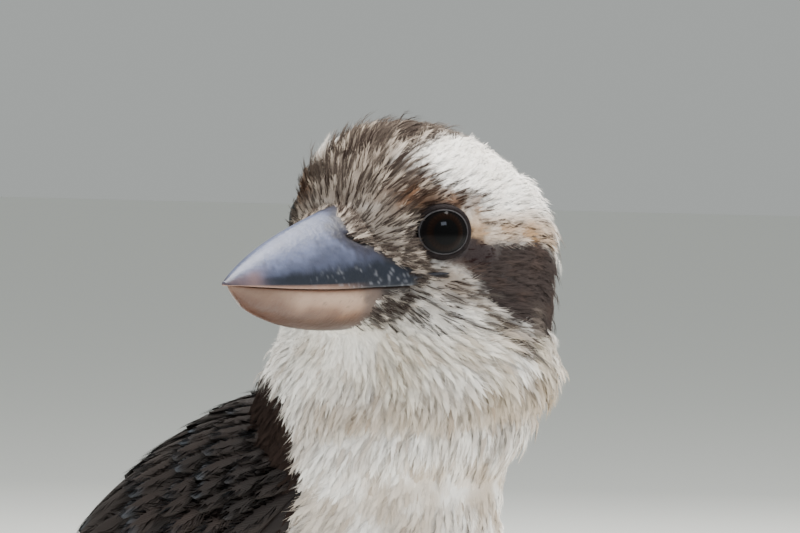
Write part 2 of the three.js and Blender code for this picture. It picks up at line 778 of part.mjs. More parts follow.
const bird = new THREE.Group();
const finish = (colour, roughness, metalness = 0) =>
  new THREE.MeshStandardMaterial({ color: colour, roughness, metalness });
const WHITE = finish(0xe8e0d4, 0.9);
const BROWN = finish(0x4a3a2e, 0.85);
const RUFOUS = finish(0x8a5a3a, 0.85);
const SLATE = finish(0x4a5468, 0.4);
const HORN = finish(0xc9a88c, 0.4);
const EYE = finish(0x1a1210, 0.1);
const SCUTE = finish(0x8f8a72, 0.6);
const CLAW = finish(0x3a322c, 0.45);

const add = (name, solid, material) => {
  const mesh = new THREE.Mesh(geometryOf(solid), material);
  mesh.name = name;
  bird.add(mesh);
};
add("head", largestOf(head), WHITE);
add("neck", neck, WHITE);
add("torso", torso, WHITE);
add("tail", tail, RUFOUS);
const billUpper = nostrils().reduce((solid, slit) => solid.subtract(slit), upperBill().subtract(around));
add("bill_upper", largestOf(billUpper), SLATE);
add("bill_lower", largestOf(lowerBill().subtract(around)), HORN);
["left", "right"].forEach((side, i) => {
  const sided = (solid) => (i === 0 ? solid : mirrored(solid));
  add(`eye_${side}`, ball(eyes[i], EYE_RADIUS), EYE);
  add(`wing_${side}`, largestOf(sided(wing).subtract(around)), BROWN);
  add(`thigh_${side}`, largestOf(sided(thigh).subtract(around)), WHITE);
  add(`foot_${side}`, sided(foot), SCUTE);
  TOES.forEach((toe, n) => add(`claw_${side}_${n + 1}`, sided(clawOf(toe)), CLAW));
});

// The origin is under the middle of the whole, on the floor
const box = new THREE.Box3().setFromObject(bird);
const middle = box.getCenter(new THREE.Vector3());
bird.children.forEach((mesh) => mesh.geometry.translate(-middle.x, -middle.y, -box.min.z));

export default bird;
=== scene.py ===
# %% [markdown]
# A laughing kookaburra at life size, standing, with its head turned over its right shoulder.
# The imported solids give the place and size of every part. This file dresses them: one skin
# under a coat of feathers, a smooth horn bill, wet eyes, folded wings, a barred tail and
# scaled feet. Lengths in the cells are millimetres until a mesh is made.

# %% Start
import itertools
import math
import bpy
import numpy as np
from mathutils import Matrix, Vector, kdtree


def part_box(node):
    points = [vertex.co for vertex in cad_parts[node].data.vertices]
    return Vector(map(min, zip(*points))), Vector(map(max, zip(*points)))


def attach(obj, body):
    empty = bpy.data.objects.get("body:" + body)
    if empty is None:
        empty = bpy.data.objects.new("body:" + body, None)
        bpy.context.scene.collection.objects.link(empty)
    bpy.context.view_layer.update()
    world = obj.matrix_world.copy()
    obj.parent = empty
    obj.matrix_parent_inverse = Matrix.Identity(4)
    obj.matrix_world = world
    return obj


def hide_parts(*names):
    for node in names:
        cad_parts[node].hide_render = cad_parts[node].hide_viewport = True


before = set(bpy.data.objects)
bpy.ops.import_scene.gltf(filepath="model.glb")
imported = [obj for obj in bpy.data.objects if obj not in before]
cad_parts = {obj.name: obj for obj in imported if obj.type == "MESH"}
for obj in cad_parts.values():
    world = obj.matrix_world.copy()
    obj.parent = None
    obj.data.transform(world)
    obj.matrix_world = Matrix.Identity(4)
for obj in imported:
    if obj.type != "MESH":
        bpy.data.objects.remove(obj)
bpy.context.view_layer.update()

MM = 0.001
rng = np.random.default_rng(11)

# %% [markdown]
# Two frames of reference carry all the shapes and markings. The bird's own frame stands on the
# floor, x forward, y left, z up, and is found from the feet. The head's frame has x along the
# bill, and is turned to the right over the shoulder.

# %% Frames
def unit(v):
    v = np.asarray(v, float)
    return v / np.maximum(np.linalg.norm(v, axis=-1, keepdims=True), 1e-9)


def turn(axis, degrees):
    return np.array(Matrix.Rotation(math.radians(degrees), 3, axis))


FOOT_REACH = 35.087  # the toes end this far forward of the bird's own origin
foot_boxes = [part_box("foot_left"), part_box("foot_right")]
middle_x = np.mean([(b[0][0] + b[1][0]) / 2 for b in foot_boxes]) / MM
ORIGIN = np.array([middle_x, foot_boxes[0][0][1] / MM + FOOT_REACH, 0.0])


def at(forward, left, up):
    return np.stack(np.broadcast_arrays(left, -np.asarray(forward, float), up), -1) + ORIGIN


def body_of(p):
    q = p - ORIGIN
    return np.stack([-q[..., 1], q[..., 0], q[..., 2]], -1)


HEAD_TURN, HEAD_RAISE, HEAD_ROLL = 81, 2, 4
HEAD = turn("Z", -90 - HEAD_TURN) @ turn("Y", -HEAD_RAISE) @ turn("X", -HEAD_ROLL)
HEAD_AT = at(50, -3, 228)


def head_of(p):
    return (p - HEAD_AT) @ HEAD


def from_head(q):
    return np.asarray(q, float) @ HEAD.T + HEAD_AT


print("bird stands at", ORIGIN.round(2))

# %% [markdown]
# The camera repeats the photograph: a long lens, about 1.9 m from the bird, at the height of
# its eye and 52 degrees round to its right front, framed on the head and breast.

# %% Camera
EYE_SEEN = at(78.17, -23.28, 230.81)
azimuth, rise, DISTANCE = math.radians(-52.0), math.radians(2.0), 1900.0
LENS, SENSOR, PHOTO_WIDTH = 300, 36, 800
PHOTO_MIDDLE, EYE_PIXEL = (400, 266.5), (444.5, 232)
back = np.array([math.sin(azimuth) * math.cos(rise), -math.cos(azimuth) * math.cos(rise), math.sin(rise)])
right = np.array([math.cos(azimuth), math.sin(azimuth), 0.0])
above = np.cross(back, right)
camera_at = EYE_SEEN + back * DISTANCE
shift = right * (PHOTO_MIDDLE[0] - EYE_PIXEL[0]) - above * (PHOTO_MIDDLE[1] - EYE_PIXEL[1])
aim = EYE_SEEN + shift * DISTANCE / (LENS / SENSOR * PHOTO_WIDTH)

bpy.ops.object.camera_add(location=Vector(camera_at * MM))
camera = bpy.context.object
camera.name = "camera"
camera.data.lens = LENS
camera.data.sensor_width = SENSOR
camera.data.clip_end = 50
camera.rotation_euler = Vector((aim - camera_at) * MM).to_track_quat("-Z", "Y").to_euler()
bpy.context.scene.camera = camera
print("camera", (camera_at * MM).round(3))

# %% [markdown]
# Small helpers make a mesh from arrays, give it a material that reads its own colours, and
# seat it on the one body of a bird with no joints.

# %% Helpers
def mesh_from(name, verts, faces, colors, uv, normals=None):
    """A mesh of verts (n,3) in mm and faces, a list of integer arrays (each of one corner count)."""
    mesh = bpy.data.meshes.new(name)
    corners = np.concatenate([f.ravel() for f in faces])
    sizes = np.concatenate([np.full(len(f), f.shape[1]) for f in faces])
    starts = np.concatenate([[0], np.cumsum(sizes)[:-1]])
    mesh.vertices.add(len(verts))
    mesh.vertices.foreach_set("co", np.ascontiguousarray(verts * MM, np.float32).ravel())
    mesh.loops.add(len(corners))
    mesh.loops.foreach_set("vertex_index", corners.astype(np.int32))
    mesh.polygons.add(len(sizes))
    mesh.polygons.foreach_set("loop_start", starts.astype(np.int32))
    mesh.polygons.foreach_set("loop_total", sizes.astype(np.int32))
    mesh.polygons.foreach_set("use_smooth", np.full(len(sizes), True))
    paint(mesh, colors)
    layer = mesh.uv_layers.new(name="OFBake")
    layer.data.foreach_set("uv", np.ascontiguousarray(uv[corners], np.float32).ravel())
    mesh.update(calc_edges=True)
    if normals is not None:
        mesh.normals_split_custom_set_from_vertices(normals.astype(np.float32))
    made = bpy.data.objects.new(name, mesh)
    bpy.context.scene.collection.objects.link(made)
    return made


def paint(mesh, colors):
    layer = mesh.attributes.new("Paint", "FLOAT_COLOR", "POINT")
    rgba = np.concatenate([np.clip(colors, 0, 1), np.ones((len(colors), 1))], 1)
    layer.data.foreach_set("color", rgba.astype(np.float32).ravel())


def vertices_of(obj, what):
    out = np.empty(len(obj.data.vertices) * 3, np.float32)
    obj.data.vertices.foreach_get(what, out)
    return out.reshape(-1, 3).astype(float)


def points_of(obj):
    return vertices_of(obj, "co") / MM


def normals_of(obj):
    return vertices_of(obj, "normal")


def set_points(obj, points):
    flat = np.ascontiguousarray(points * MM, np.float32).ravel()
    obj.data.vertices.foreach_set("co", flat)
    obj.data.update()


def active(obj):
    bpy.ops.object.select_all(action="DESELECT")
    obj.select_set(True)
    bpy.context.view_layer.objects.active = obj


def outward(obj):
    """Turns every face of a closed mesh to the outside."""
    active(obj)
    bpy.ops.object.mode_set(mode="EDIT")
    bpy.ops.mesh.select_all(action="SELECT")
    bpy.ops.mesh.normals_make_consistent(inside=False)
    bpy.ops.object.mode_set(mode="OBJECT")


def ball(segments, rings, radius=1 / MM, place=(0, 0, 0)):
    """A sphere, its radius and place in mm."""
    bpy.ops.mesh.primitive_uv_sphere_add(
        segments=segments, ring_count=rings, radius=radius * MM, location=Vector(np.array(place) * MM)
    )
    return bpy.context.object


def finish_piece(obj, material, slot, *nodes):
    obj.data.materials.clear()
    obj.data.materials.append(material)
    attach(obj, "root")
    if nodes:
        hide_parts(*nodes)


def relief(material, height, strength, distance):
    """Lets a node's output raise the surface of a material."""
    nodes, links = material.node_tree.nodes, material.node_tree.links
    bump = nodes.new("ShaderNodeBump")
    bump.inputs["Strength"].default_value = strength
    bump.inputs["Distance"].default_value = distance
    links.new(height, bump.inputs["Height"])
    links.new(bump.outputs["Normal"], nodes["Principled BSDF"].inputs["Normal"])


def painted(name, roughness, bump=0.0, scale=1000.0, specular=0.3):
    """A material whose colour is the mesh's own Paint, with a fine procedural relief."""
    material = bpy.data.materials.new(name)
    material.use_nodes = True
    nodes, links = material.node_tree.nodes, material.node_tree.links
    shader = nodes["Principled BSDF"]
    shader.inputs["Roughness"].default_value = roughness
    shader.inputs["Specular IOR Level"].default_value = specular
    own = nodes.new("ShaderNodeVertexColor")
    own.layer_name = "Paint"
    links.new(own.outputs["Color"], shader.inputs["Base Color"])
    if bump:
        place = nodes.new("ShaderNodeTexCoord")
        noise = nodes.new("ShaderNodeTexNoise")
        noise.inputs["Scale"].default_value = scale
        noise.inputs["Detail"].default_value = 3
        links.new(place.outputs["Object"], noise.inputs["Vector"])
        relief(material, noise.outputs["Fac"], bump, 0.0006)
    return material


def step(x, low, high):
    t = np.clip((np.asarray(x, float) - low) / (high - low), 0, 1)
    return t * t * (3 - 2 * t)


def mix(a, b, t):
    t = np.asarray(t, float)[..., None]
    return np.asarray(a, float) * (1 - t) + np.asarray(b, float) * t


def layered(tone, *layers):
    """Tones laid over a ground one after another, each by its own weight."""
    for color, weight in layers:
        tone = mix(tone, color, weight)
    return tone


def hashed(cell):
    return (cell[..., 0] * 73856093) ^ (cell[..., 1] * 19349663) ^ (cell[..., 2] * 83492791)


def value_noise(p, size, seed=0):
    """Smooth noise from -1 to 1 over points in mm, from an integer hash of the cells' corners."""
    q = np.asarray(p) / size
    cell = np.floor(q).astype(np.int64)
    f = q - cell
    f = f * f * (3 - 2 * f)
    total = 0.0
    for dx, dy, dz in itertools.product((0, 1), repeat=3):
        h = hashed(cell + [dx, dy, dz])
        h = ((h + seed * 2654435761) * 1103515245 + 12345) & 0x7FFFFFFF
        h = ((h >> 7) ^ h) * 48271 & 0x7FFFFFFF
        w = np.abs(1 - dx - f[..., 0]) * np.abs(1 - dy - f[..., 1]) * np.abs(1 - dz - f[..., 2])
        total = total + w * (h / 0x3FFFFFFF - 1)
    return total


print("noise at the eye", value_noise(EYE_SEEN[None], 9).round(3))

# %% [markdown]
# The markings are worked out from where a point is on the head or body, and the skin and every
# feather ask the same rule. A kookaburra has a white head with a brown-streaked crown, a brown
# mask from the lores back over the ear, an off-white breast, and a dark brown back.

# %% Markings
WHITE = np.array([0.84, 0.80, 0.74])
OCHRE = np.array([0.27, 0.150, 0.062])
BEIGE = np.array([0.175, 0.13, 0.095])
RUFOUS = np.array([0.13, 0.058, 0.026])
UMBER = np.array([0.019, 0.0125, 0.0102])
MASK = np.array([0.0130, 0.0050, 0.0042])
DARK = np.array([0.022, 0.016, 0.014])
EYE_HEAD = head_of(EYE_SEEN)


class Marks:
    """Colour at points in mm, and how strongly feathers there are dark along their middle."""

    def __init__(self, p):
        self.p, self.head = p, head_of(p)
        x, y, z = self.head[..., 0], np.abs(self.head[..., 1]), self.head[..., 2]
        self.places = x, y, z, np.degrees(np.arctan2(y, x)), value_noise(p, 9, 1), value_noise(p, 4, 2)
        self.on_head = step(z, -34, -26)
        self.color = np.broadcast_to(WHITE, p.shape).copy()
        self.streak = np.zeros(p.shape[:-1])

    def lay(self, tone, weight, streak=0.0):
        self.color = mix(self.color, tone, weight)
        self.streak = np.maximum(self.streak, streak)


def bare_distance(h):
    """How far out points are from the bare skin behind the eye, whose edge is near 1."""
    return np.hypot((h[..., 0] - 15.5) / 9.0, (h[..., 2] + 1.2 - 0.16 * (h[..., 0] - 15)) / 4.0)


def bare_patch(h):
    """How bare the skin is behind the eye, 0 to 1."""
    return (1 - step(bare_distance(h), 0.75, 1.05)) * step(np.abs(h[..., 1]), 20, 24)


print("eye in the head's frame", EYE_HEAD.round(1))

# %% [markdown]
# The rules of the head go from the crown down. Most places are told by their height and by the
# angle round the head from the bill, phi, and two noises, broad and fine, fray every edge.

# %% Markings of the head
# height and half width of the streaked crown
CROWN_EDGE = [8, 12.3, 14.3, 15.4, 17.3, 21.1, 24, 28.6], [40, 28.4, 25.5, 22.3, 18.4, 13, 11.5, 10.7]
# angle and height of the mask's lower edge
MASK_EDGE = [20, 40, 47, 63, 75, 92, 110, 135], [-3, -4, -6.5, -10, -17.5, -23.5, -26, -20]
JAW = (36.4, 30, 27), (11.3, 22.5, 27), (-23.6, -27.7, -33)
JAW_LINE = np.stack([np.interp(np.linspace(0, 2, 13), range(3), k) for k in JAW], -1)


def mark_top(m):
    """The streaked crown, brown over the front of the eye, and the ochre edge of the white brow."""
    x, y, z, phi, n1, n2 = m.places
    m.lay([0.70, 0.62, 0.52], 0.25 * step(n1, -0.2, 0.9))
    edge = np.interp(z, *CROWN_EDGE)
    crown = step(z + n1 * 1.5, 5, 11) * step(edge - y + n2 * 2.0, -3, 3) * step(x + 5 * n1, -34, -10)
    crown = crown * (1 - step(phi, 54, 74) * (1 - step(z, 16, 22))) * m.on_head
    m.lay(BEIGE, 0.92 * crown, crown)
    brow = step(phi + n2 * 5, 12, 24) * (1 - step(phi + n2 * 9, 52, 74))
    brow = brow * step(z, 5, 8) * (1 - step(z - 0.1 * (x - 10) + n2 * 2, 11, 16)) * m.on_head
    m.lay(RUFOUS * 0.85, 0.88 * brow, brow)
    ochre = step(phi, 46, 60) * step(z, 0.2, 2.0) * (1 - step(z + n2 * 2, 6, 12.5))
    ochre = ochre * (1 - step(phi, 118, 138)) * m.on_head
    m.lay(OCHRE, ochre * (0.60 + 0.35 * step(n2 + 0.6 * n1, -0.8, 0.7)), 0.30 * ochre)


def mark_mask(m):
    """The mottled lores, the dark mask and the grey-brown mottling under it."""
    x, y, z, phi, n1, n2 = m.places
    lores = (1 - step(phi, 36, 46)) * step(x, 22, 28) * (1 - step(z + n2 * 2, 7, 11))
    lores = lores * step(z, -11, -7) * m.on_head
    m.lay([0.19, 0.145, 0.11], 0.90 * lores, 0.84 * lores)
    top = 1.8 + 1.0 * n2 - 0.10 * np.clip(phi - 104, 0, 60)
    m.mask_low = np.interp(phi, *MASK_EDGE) + 1.8 * n2
    mask = step(top - z, -1.1, 1.1) * step(z - m.mask_low, -2.0, 2.0)
    m.mask = mask * step(phi + n1 * 4, 30, 44) * (1 - step(phi + n1 * 6, 122, 138)) * m.on_head
    pale = 0.22 * step(n2, -0.1, 0.7) + 0.40 * (1 - step(phi, 52, 74)) * step(n2, -0.5, 0.2)
    m.lay(mix(MASK, [0.066, 0.034, 0.022], pale), 0.97 * m.mask)
    m.streak = np.where(m.mask > 0.5, 0, m.streak)
    below = m.mask_low - z + 1.5 * n1
    under = step(below, -2, 1.5) * (1 - step(below, 5, 11)) * step(phi, 34, 46)
    under = under * (1 - step(phi + 5 * n1, 84, 104)) * m.on_head * (1 - m.mask)
    m.lay([0.25, 0.195, 0.15], 0.90 * under * (0.55 + 0.45 * step(n2, -0.7, 0.3)), 0.70 * under)


def mark_eye(m):
    """The bare dark skin behind the eye and the dark ring round it."""
    bare = 0.95 * (1 - step(bare_distance(m.head), 0.8, 1.15)) * step(m.places[1], 20, 24) * m.on_head
    m.lay([0.014, 0.0065, 0.0062], bare)
    eyes = [EYE_HEAD * [1, hand, 1] for hand in (1, -1)]
    ring = np.min([np.linalg.norm((m.head - eye) * [1, 1, 1.15], axis=-1) for eye in eyes], axis=0)
    m.lay([0.035, 0.030, 0.030], 0.95 * (1 - step(ring, 8.6, 11.2)))


def mark_cheek(m):
    """The malar patch, the shade where the cheek's feathers end, and the warm neck, cheek and nape."""
    x, y, z, phi, n1, n2 = m.places
    malar = (1 - step(phi + 5 * n1, 46, 72)) * step(x, 14, 22) * (1 - step(z, -9, -6))
    m.malar = malar * step(z + 2.5 * n1, -26, -18) * m.on_head
    near = 1 - step(np.hypot(x - 38, z + 15), 5, 16)
    tone = mix([0.20, 0.16, 0.13], [0.050, 0.038, 0.032], near) * (1 + 0.35 * n2[..., None])
    weight = (0.60 + 0.32 * near) * m.malar * (0.5 + 0.5 * step(n2, -0.7, 0.2))
    m.lay(tone, weight, (0.78 + 0.16 * near) * m.malar)
    own = np.stack([x, y, z], -1)
    crease = np.min([np.linalg.norm(own - q, axis=-1) for q in JAW_LINE], axis=0)
    m.lay([0.11, 0.08, 0.055], 0.72 * (1 - step(crease + 0.6 * n2, 0.6, 2.4)))
    rear = step(phi + 6 * n1, 62, 100) * (1 - step(z, -30, -19)) * (1 - m.mask)
    m.lay([0.60, 0.48, 0.38], 0.42 * rear * step(n1 + 0.5 * n2, -0.6, 0.5))
    low = m.mask_low.min()
    cheek = step(phi, 55, 70) * (1 - step(phi, 95, 120)) * (1 - step(z, low + 6, low + 14)) * m.on_head
    m.lay([0.55, 0.46, 0.38], 0.18 * cheek * step(n1, -0.2, 0.6))
    nape = step(phi, 128, 150) * m.on_head
    m.lay([0.66, 0.56, 0.45], 0.35 * nape * step(n1, -0.3, 0.7))


print("line of the jaw", len(JAW_LINE), "points")

# %% [markdown]
# The body's rules come last: the dark mantle that runs up to the nape, painted warm shade over the
# throat under the bill and in the fold below it, a small painted brown shade on the neck, a warm
# tint down the breast, buff bars on the flanks, and a barred rump.

# %% Markings of the body
# height and place forward of the mantle's front edge, and of the edge of the rump
MANTLE_EDGE = [60, 90, 120, 144, 162, 176, 183, 188, 200], [-30, -16, 16, 40, 39, 36, 30, 19, 2]
RUMP_EDGE = [60, 100, 140], [-8, 0, 26]
# place and size of a small painted brown shade on the neck
NECK_SHADE, NECK_SHADE_SIZE = np.array([28.2, -137.4, 169.8]), [4.5, 7, 5.5]


def fold_up(b):
    """Height of the soft fold between throat and breast, at places in the body's frame."""
    return 183 + 0.10 * b[..., 1]


def mark_body(m):
    n1, n2 = m.places[4:]
    b = body_of(m.p)
    f, side, up = b[..., 0], np.abs(b[..., 1]), b[..., 2]
    dorsal = -((f + 18) * 0.73 - (up - 114) * 0.68)
    line = np.interp(up, *MANTLE_EDGE) + 2.2 * n2
    mantle = step(line - f, -1.5, 1.5) * step(dorsal, -30, -22) * (1 - step(up, 186, 191))
    mantle = mantle * (1 - step(-dorsal - np.interp(up, *RUMP_EDGE), -3, 3))
    m.lay(UMBER, mantle * (1 - m.on_head))
    # painted shade under the bill: a warm beige wash over the throat
    throat = step(f, 30, 52) * (1 - step(up, 194, 216)) * step(up, 176, 188) * (1 - m.mask) * (1 - m.malar)
    m.lay([0.50, 0.42, 0.29], 0.55 * throat * step(n1, -0.7, 0.6))
    # painted shade in the fold between throat and breast
    m.lay([0.30, 0.215, 0.135], 0.66 * (np.exp(-(((up - fold_up(b)) / 5.5) ** 2)) * step(f, 30, 50)))
    breast = 0.62 * (1 - step(up, 160, 184)) * (1 - mantle) * step(f, 0, 40)
    m.lay([0.46, 0.36, 0.26], breast * step(n1 + n2, -0.9, 0.5))
    # a small painted brown shade on the neck
    m.lay([0.12, 0.082, 0.052], 0.66 * np.exp(-((((m.p - NECK_SHADE) / NECK_SHADE_SIZE) ** 2).sum(-1))))
    flank = step(side, 18, 34) * (1 - step(up, 120, 140)) * (1 - mantle)
    m.lay([0.50, 0.40, 0.30], 0.35 * flank * (0.5 + 0.5 * np.sin(up * 0.9 + n1 * 2)))
    bars = 0.9 * step(np.sin(f * 0.75 + n1), -0.2, 0.3)
    m.lay(mix(RUFOUS, DARK, bars), step(-f, 58, 72) * step(dorsal, -6, 6))


def markings(p):
    """Colour, and how strongly feathers are dark along their middle, at points in mm."""
    m = Marks(p)
    for rule in (mark_top, mark_mask, mark_eye, mark_cheek, mark_body):
        rule(m)
    return m.color, m.streak


print("colour of the crown", markings(from_head([[10.0, 0.0, 30.0]]))[0].round(2))

# %% [markdown]
# The skin is one closed surface. Copies of the head, neck, torso and thigh solids are joined
# with two eggs for the rump and a ball in each socket, melted together by a voxel remesh,
# smoothed, and drawn in by the depth of the coat, so that no seam shows between the parts.

# %% Skin
def copied(node):
    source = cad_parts[node]
    twin = source.copy()
    twin.data = source.data.copy()
    twin.parent = None
    twin.matrix_world = Matrix.Identity(4)
    twin.name = "part_" + node
    bpy.context.scene.collection.objects.link(twin)
    return twin


EYES = [
    {"centre": at(72.767, -20.043, 230.679), "axis": unit([-0.51371, -0.85770, 0.02125])},
    {"centre": at(33.829, -26.342, 233.462), "axis": unit([-0.74879, 0.65035, 0.12790])},
]
FLESH = ("head", "neck", "torso", "thigh_left", "thigh_right")
RUMP_EGGS = ((-78, 63, (17, 40, 8.5), 24), (-74, 57, (15, 36, 9), 16))
SOCKET, SWELL, VOXEL = 9.4, 0.35, 1.7
flesh = [copied(node) for node in FLESH]
for forward, up, radii, slope in RUMP_EGGS:
    egg = ball(32, 20, place=at(forward, 0, up))
    egg.scale = Vector(radii) * MM
    egg.rotation_euler = (-math.radians(slope), 0, 0)
    flesh.append(egg)
flesh += [ball(24, 16, SOCKET, eye["centre"]) for eye in EYES]
bpy.ops.object.select_all(action="DESELECT")
for piece in flesh:
    piece.select_set(True)
bpy.context.view_layer.objects.active = flesh[0]
bpy.ops.object.transform_apply(location=True, rotation=True, scale=True)
bpy.ops.object.join()
skin = bpy.context.object
skin.name = "skin"
skin.data.name = "skin"
thicken = skin.modifiers.new("close", "DISPLACE")
thicken.strength = SWELL * MM
thicken.mid_level = 0
bpy.ops.object.modifier_apply(modifier="close")
skin.data.remesh_voxel_size = VOXEL * MM
bpy.ops.object.voxel_remesh()
soften = skin.modifiers.new("soften", "SMOOTH")
soften.factor = 0.5
soften.iterations = 8
bpy.ops.object.modifier_apply(modifier="soften")
bpy.ops.object.shade_smooth()


def coat_depth(p):
    deep = 2.2 + 1.2 * (1 - step(body_of(p)[..., 2], 195, 215))
    return deep - 0.9 * step(head_of(p)[..., 0], 24, 38)


def from_eye(p, eye):
    """How far points lie along the eye's axis and out from it, and the way out."""
    away = p - eye["centre"]
    along = away @ eye["axis"]
    across = away - along[:, None] * eye["axis"]
    return along, np.linalg.norm(across, axis=1), across


surface = points_of(skin)
b = body_of(surface)
crease = np.exp(-(((b[:, 2] - fold_up(b) + 4.5) / 4.0) ** 2)) * step(b[:, 0], 35, 55)
surface = surface - normals_of(skin) * (1.6 * crease)[:, None]
set_points(skin, surface - normals_of(skin) * coat_depth(surface)[:, None])
skin_points = points_of(skin)
for eye in EYES:
    along, radial, _ = from_eye(skin_points, eye)
    limit = 4.3 + 0.55 * np.maximum(radial - 8.8, 0) + 20 * step(radial, 12, 20)
    over = np.where((along > limit) & (radial < 20), along - limit, 0)
    skin_points = skin_points - over[:, None] * eye["axis"]
set_points(skin, skin_points)
# the skin takes the markings a little darker, as painted shade under the coat
paint(skin.data, markings(skin_points)[0] * 0.85)
finish_piece(skin, painted("skin", 0.85, bump=0.3, scale=1500), "white_plumage", *FLESH)
print("skin faces", len(skin.data.polygons))

# %% [markdown]
# The coat lies along the body: on the head it fans away from the root of the bill, and from the
# neck on it runs down the back and breast to the tail. The unwrap of the skin for the coat's
# bake map goes the same way, along the spine's length and round it.

# %% Lie of the coat
SPINE = at(
    np.array([-98, -76, -50, -18, 12, 36, 49, 50.0]),
    np.array([0, 0, 0, 0, 0, 0, -1, -3.0]),
    np.array([53, 62, 80, 114, 146, 174, 204, 234.0]),
)
spine_t = np.linspace(0, 7, 141)
spine_points = np.stack([np.interp(spine_t, range(8), SPINE[:, k]) for k in range(3)], -1)
for _ in range(12):
    spine_points[1:-1] = (spine_points[:-2] + spine_points[1:-1] * 2 + spine_points[2:]) / 4
spine_tangents = unit(np.gradient(spine_points, axis=0))
FAN_FROM = from_head([60, 0, -7])
BILL_ROOT = from_head([37, 0, -4])


def nearest_spine(p):
    index = np.empty(len(p), int)
    for start in range(0, len(p), 20000):
        part = p[start : start + 20000]
        index[start : start + 20000] = ((part[:, None] - spine_points[None]) ** 2).sum(-1).argmin(1)
    return index


def lie_of(p, n):
    index = nearest_spine(p)
    down = -spine_tangents[index]
    fan = unit(p - FAN_FROM)
    distance = np.linalg.norm(p - BILL_ROOT, axis=-1)
    w = (1 - step(distance, 50, 84)) * step(p[:, 2], 176, 204)
    flow = fan * w[:, None] + down * (1 - w[:, None])
    flow = flow - n * (flow * n).sum(-1, keepdims=True)
    return unit(flow)


def skin_uv(p):
    index = nearest_spine(p)
    away = p - spine_points[index]
    side = away[:, 0]
    backward = np.cross([1.0, 0, 0], spine_tangents[index])
    high = (away * backward).sum(-1)
    beyond = (away * spine_tangents[index]).sum(-1)
    along = index / (len(spine_points) - 1) + np.clip(beyond, -30, 40) / 400
    round_ = np.arctan2(high, side) / (2 * np.pi) + 0.5
    return np.stack([0.03 + 0.94 * round_, 0.05 + 0.9 * np.clip(along * 0.9 + 0.04, 0, 1)], -1)


print("spine", round(float(np.linalg.norm(np.diff(spine_points, axis=0), axis=1).sum())), "mm")

# %% [markdown]
# Places for the feathers are scattered over the skin and thinned so that no two crowd one spot.
# Where the wings lie over the body, and inside the eye rings and the bill, none grow.

# %% Feather places
skin.data.calc_loop_triangles()
triangles = np.empty(len(skin.data.loop_triangles) * 3, np.int32)
skin.data.loop_triangles.foreach_get("vertices", triangles)
triangles = triangles.reshape(-1, 3)
skin_normals = normals_of(skin)


def scattered(count, cell, keep):
    corners = skin_points[triangles]
    area = np.linalg.norm(np.cross(corners[:, 1] - corners[:, 0], corners[:, 2] - corners[:, 0]), axis=1)
    middle = corners.mean(1)
    area = area * keep(middle)
    chosen = rng.choice(len(area), count, p=area / area.sum())
    u, v = rng.random(count), rng.random(count)
    flip = u + v > 1
    u[flip], v[flip] = 1 - u[flip], 1 - v[flip]
    w = np.stack([1 - u - v, u, v], -1)[..., None]
    p = (corners[chosen] * w).sum(1)
    n = unit((skin_normals[triangles[chosen]] * w).sum(1))
    for shift in (0.0, 0.5):
        key = hashed(np.floor(p / cell + shift).astype(np.int64))
        first = np.sort(np.unique(key, return_index=True)[1])
        p, n = p[first], n[first]
    return p, n


def off_eyes(p):
    ok = np.ones(len(p), bool)
    for eye in EYES:
        along, radial, _ = from_eye(p, eye)
        ok &= ~((along > 0) & (radial < 7.6))
    return ok


print("skin triangles", len(triangles))

# %% [markdown]
# Vanes and loose barbs of the small feathers are blades: thin closed spikes with three sides.
# Hair strands would be quicker to make, but only meshes leave this file, so many blades at once
# are worked out as arrays, and normals of their own make them look rounder than they are.

# %% Blades
def tube_quads(rings, around):
    """The faces between rings of points that follow each other."""
    r, c = np.divmod(np.arange((rings - 1) * around), around)
    d = (c + 1) % around
    return np.stack([r * around + c, r * around + d, (r + 1) * around + d, (r + 1) * around + c], -1)


def blades(path, half, across, up):
    """Closed blades of three sides along paths (n, k, 3): half widths (n, k - 1), the last point a tip."""
    n, k, _ = path.shape
    rings = k - 1
    verts = np.empty((n, rings * 3 + 1, 3))
    for r in range(rings):
        for c, (cx, cy) in enumerate(((-1.0, 0.0), (1.0, 0.0), (0.0, 0.6))):
            verts[:, r * 3 + c] = path[:, r] + (across * cx + up * cy) * half[:, r, None]
    verts[:, -1] = path[:, -1]
    last = (rings - 1) * 3
    tris = [[last + c, last + (c + 1) % 3, rings * 3] for c in range(3)] + [[2, 1, 0]]
    offsets = (np.arange(n) * verts.shape[1])[:, None, None]
    quads = (tube_quads(rings, 3) + offsets).reshape(-1, 4)
    return verts.reshape(-1, 3), quads, (np.array(tris) + offsets).reshape(-1, 3), verts.shape[1]


def soft_normals(up, across, per):
    """Normals that make a blade look rounded and soft, for its three-sided rings and its tip."""
    tilt = np.tile(np.array([-0.3, 0.3, 0.0] * ((per - 1) // 3) + [0.0]), len(up))[:, None]
    return unit(np.repeat(up, per, axis=0) + tilt * np.repeat(across, per, axis=0))


print("faces round a tube of 3 rings and 3 sides", len(tube_quads(3, 3)))

# %% [markdown]
# One small body feather is a narrow soft vane and a spray of loose barbs that leave the shaft
# and sweep forward to the tip. Thousands of them, each with its own size, lift and shade, are
# laid in one set of arrays and cut into pieces that export well.

# %% Feather maker
STREAK, PALE_TIP, FLECK = [0.017, 0.010, 0.008], [0.60, 0.51, 0.41], [0.25, 0.175, 0.115]
PIECE_LIMIT = 190000


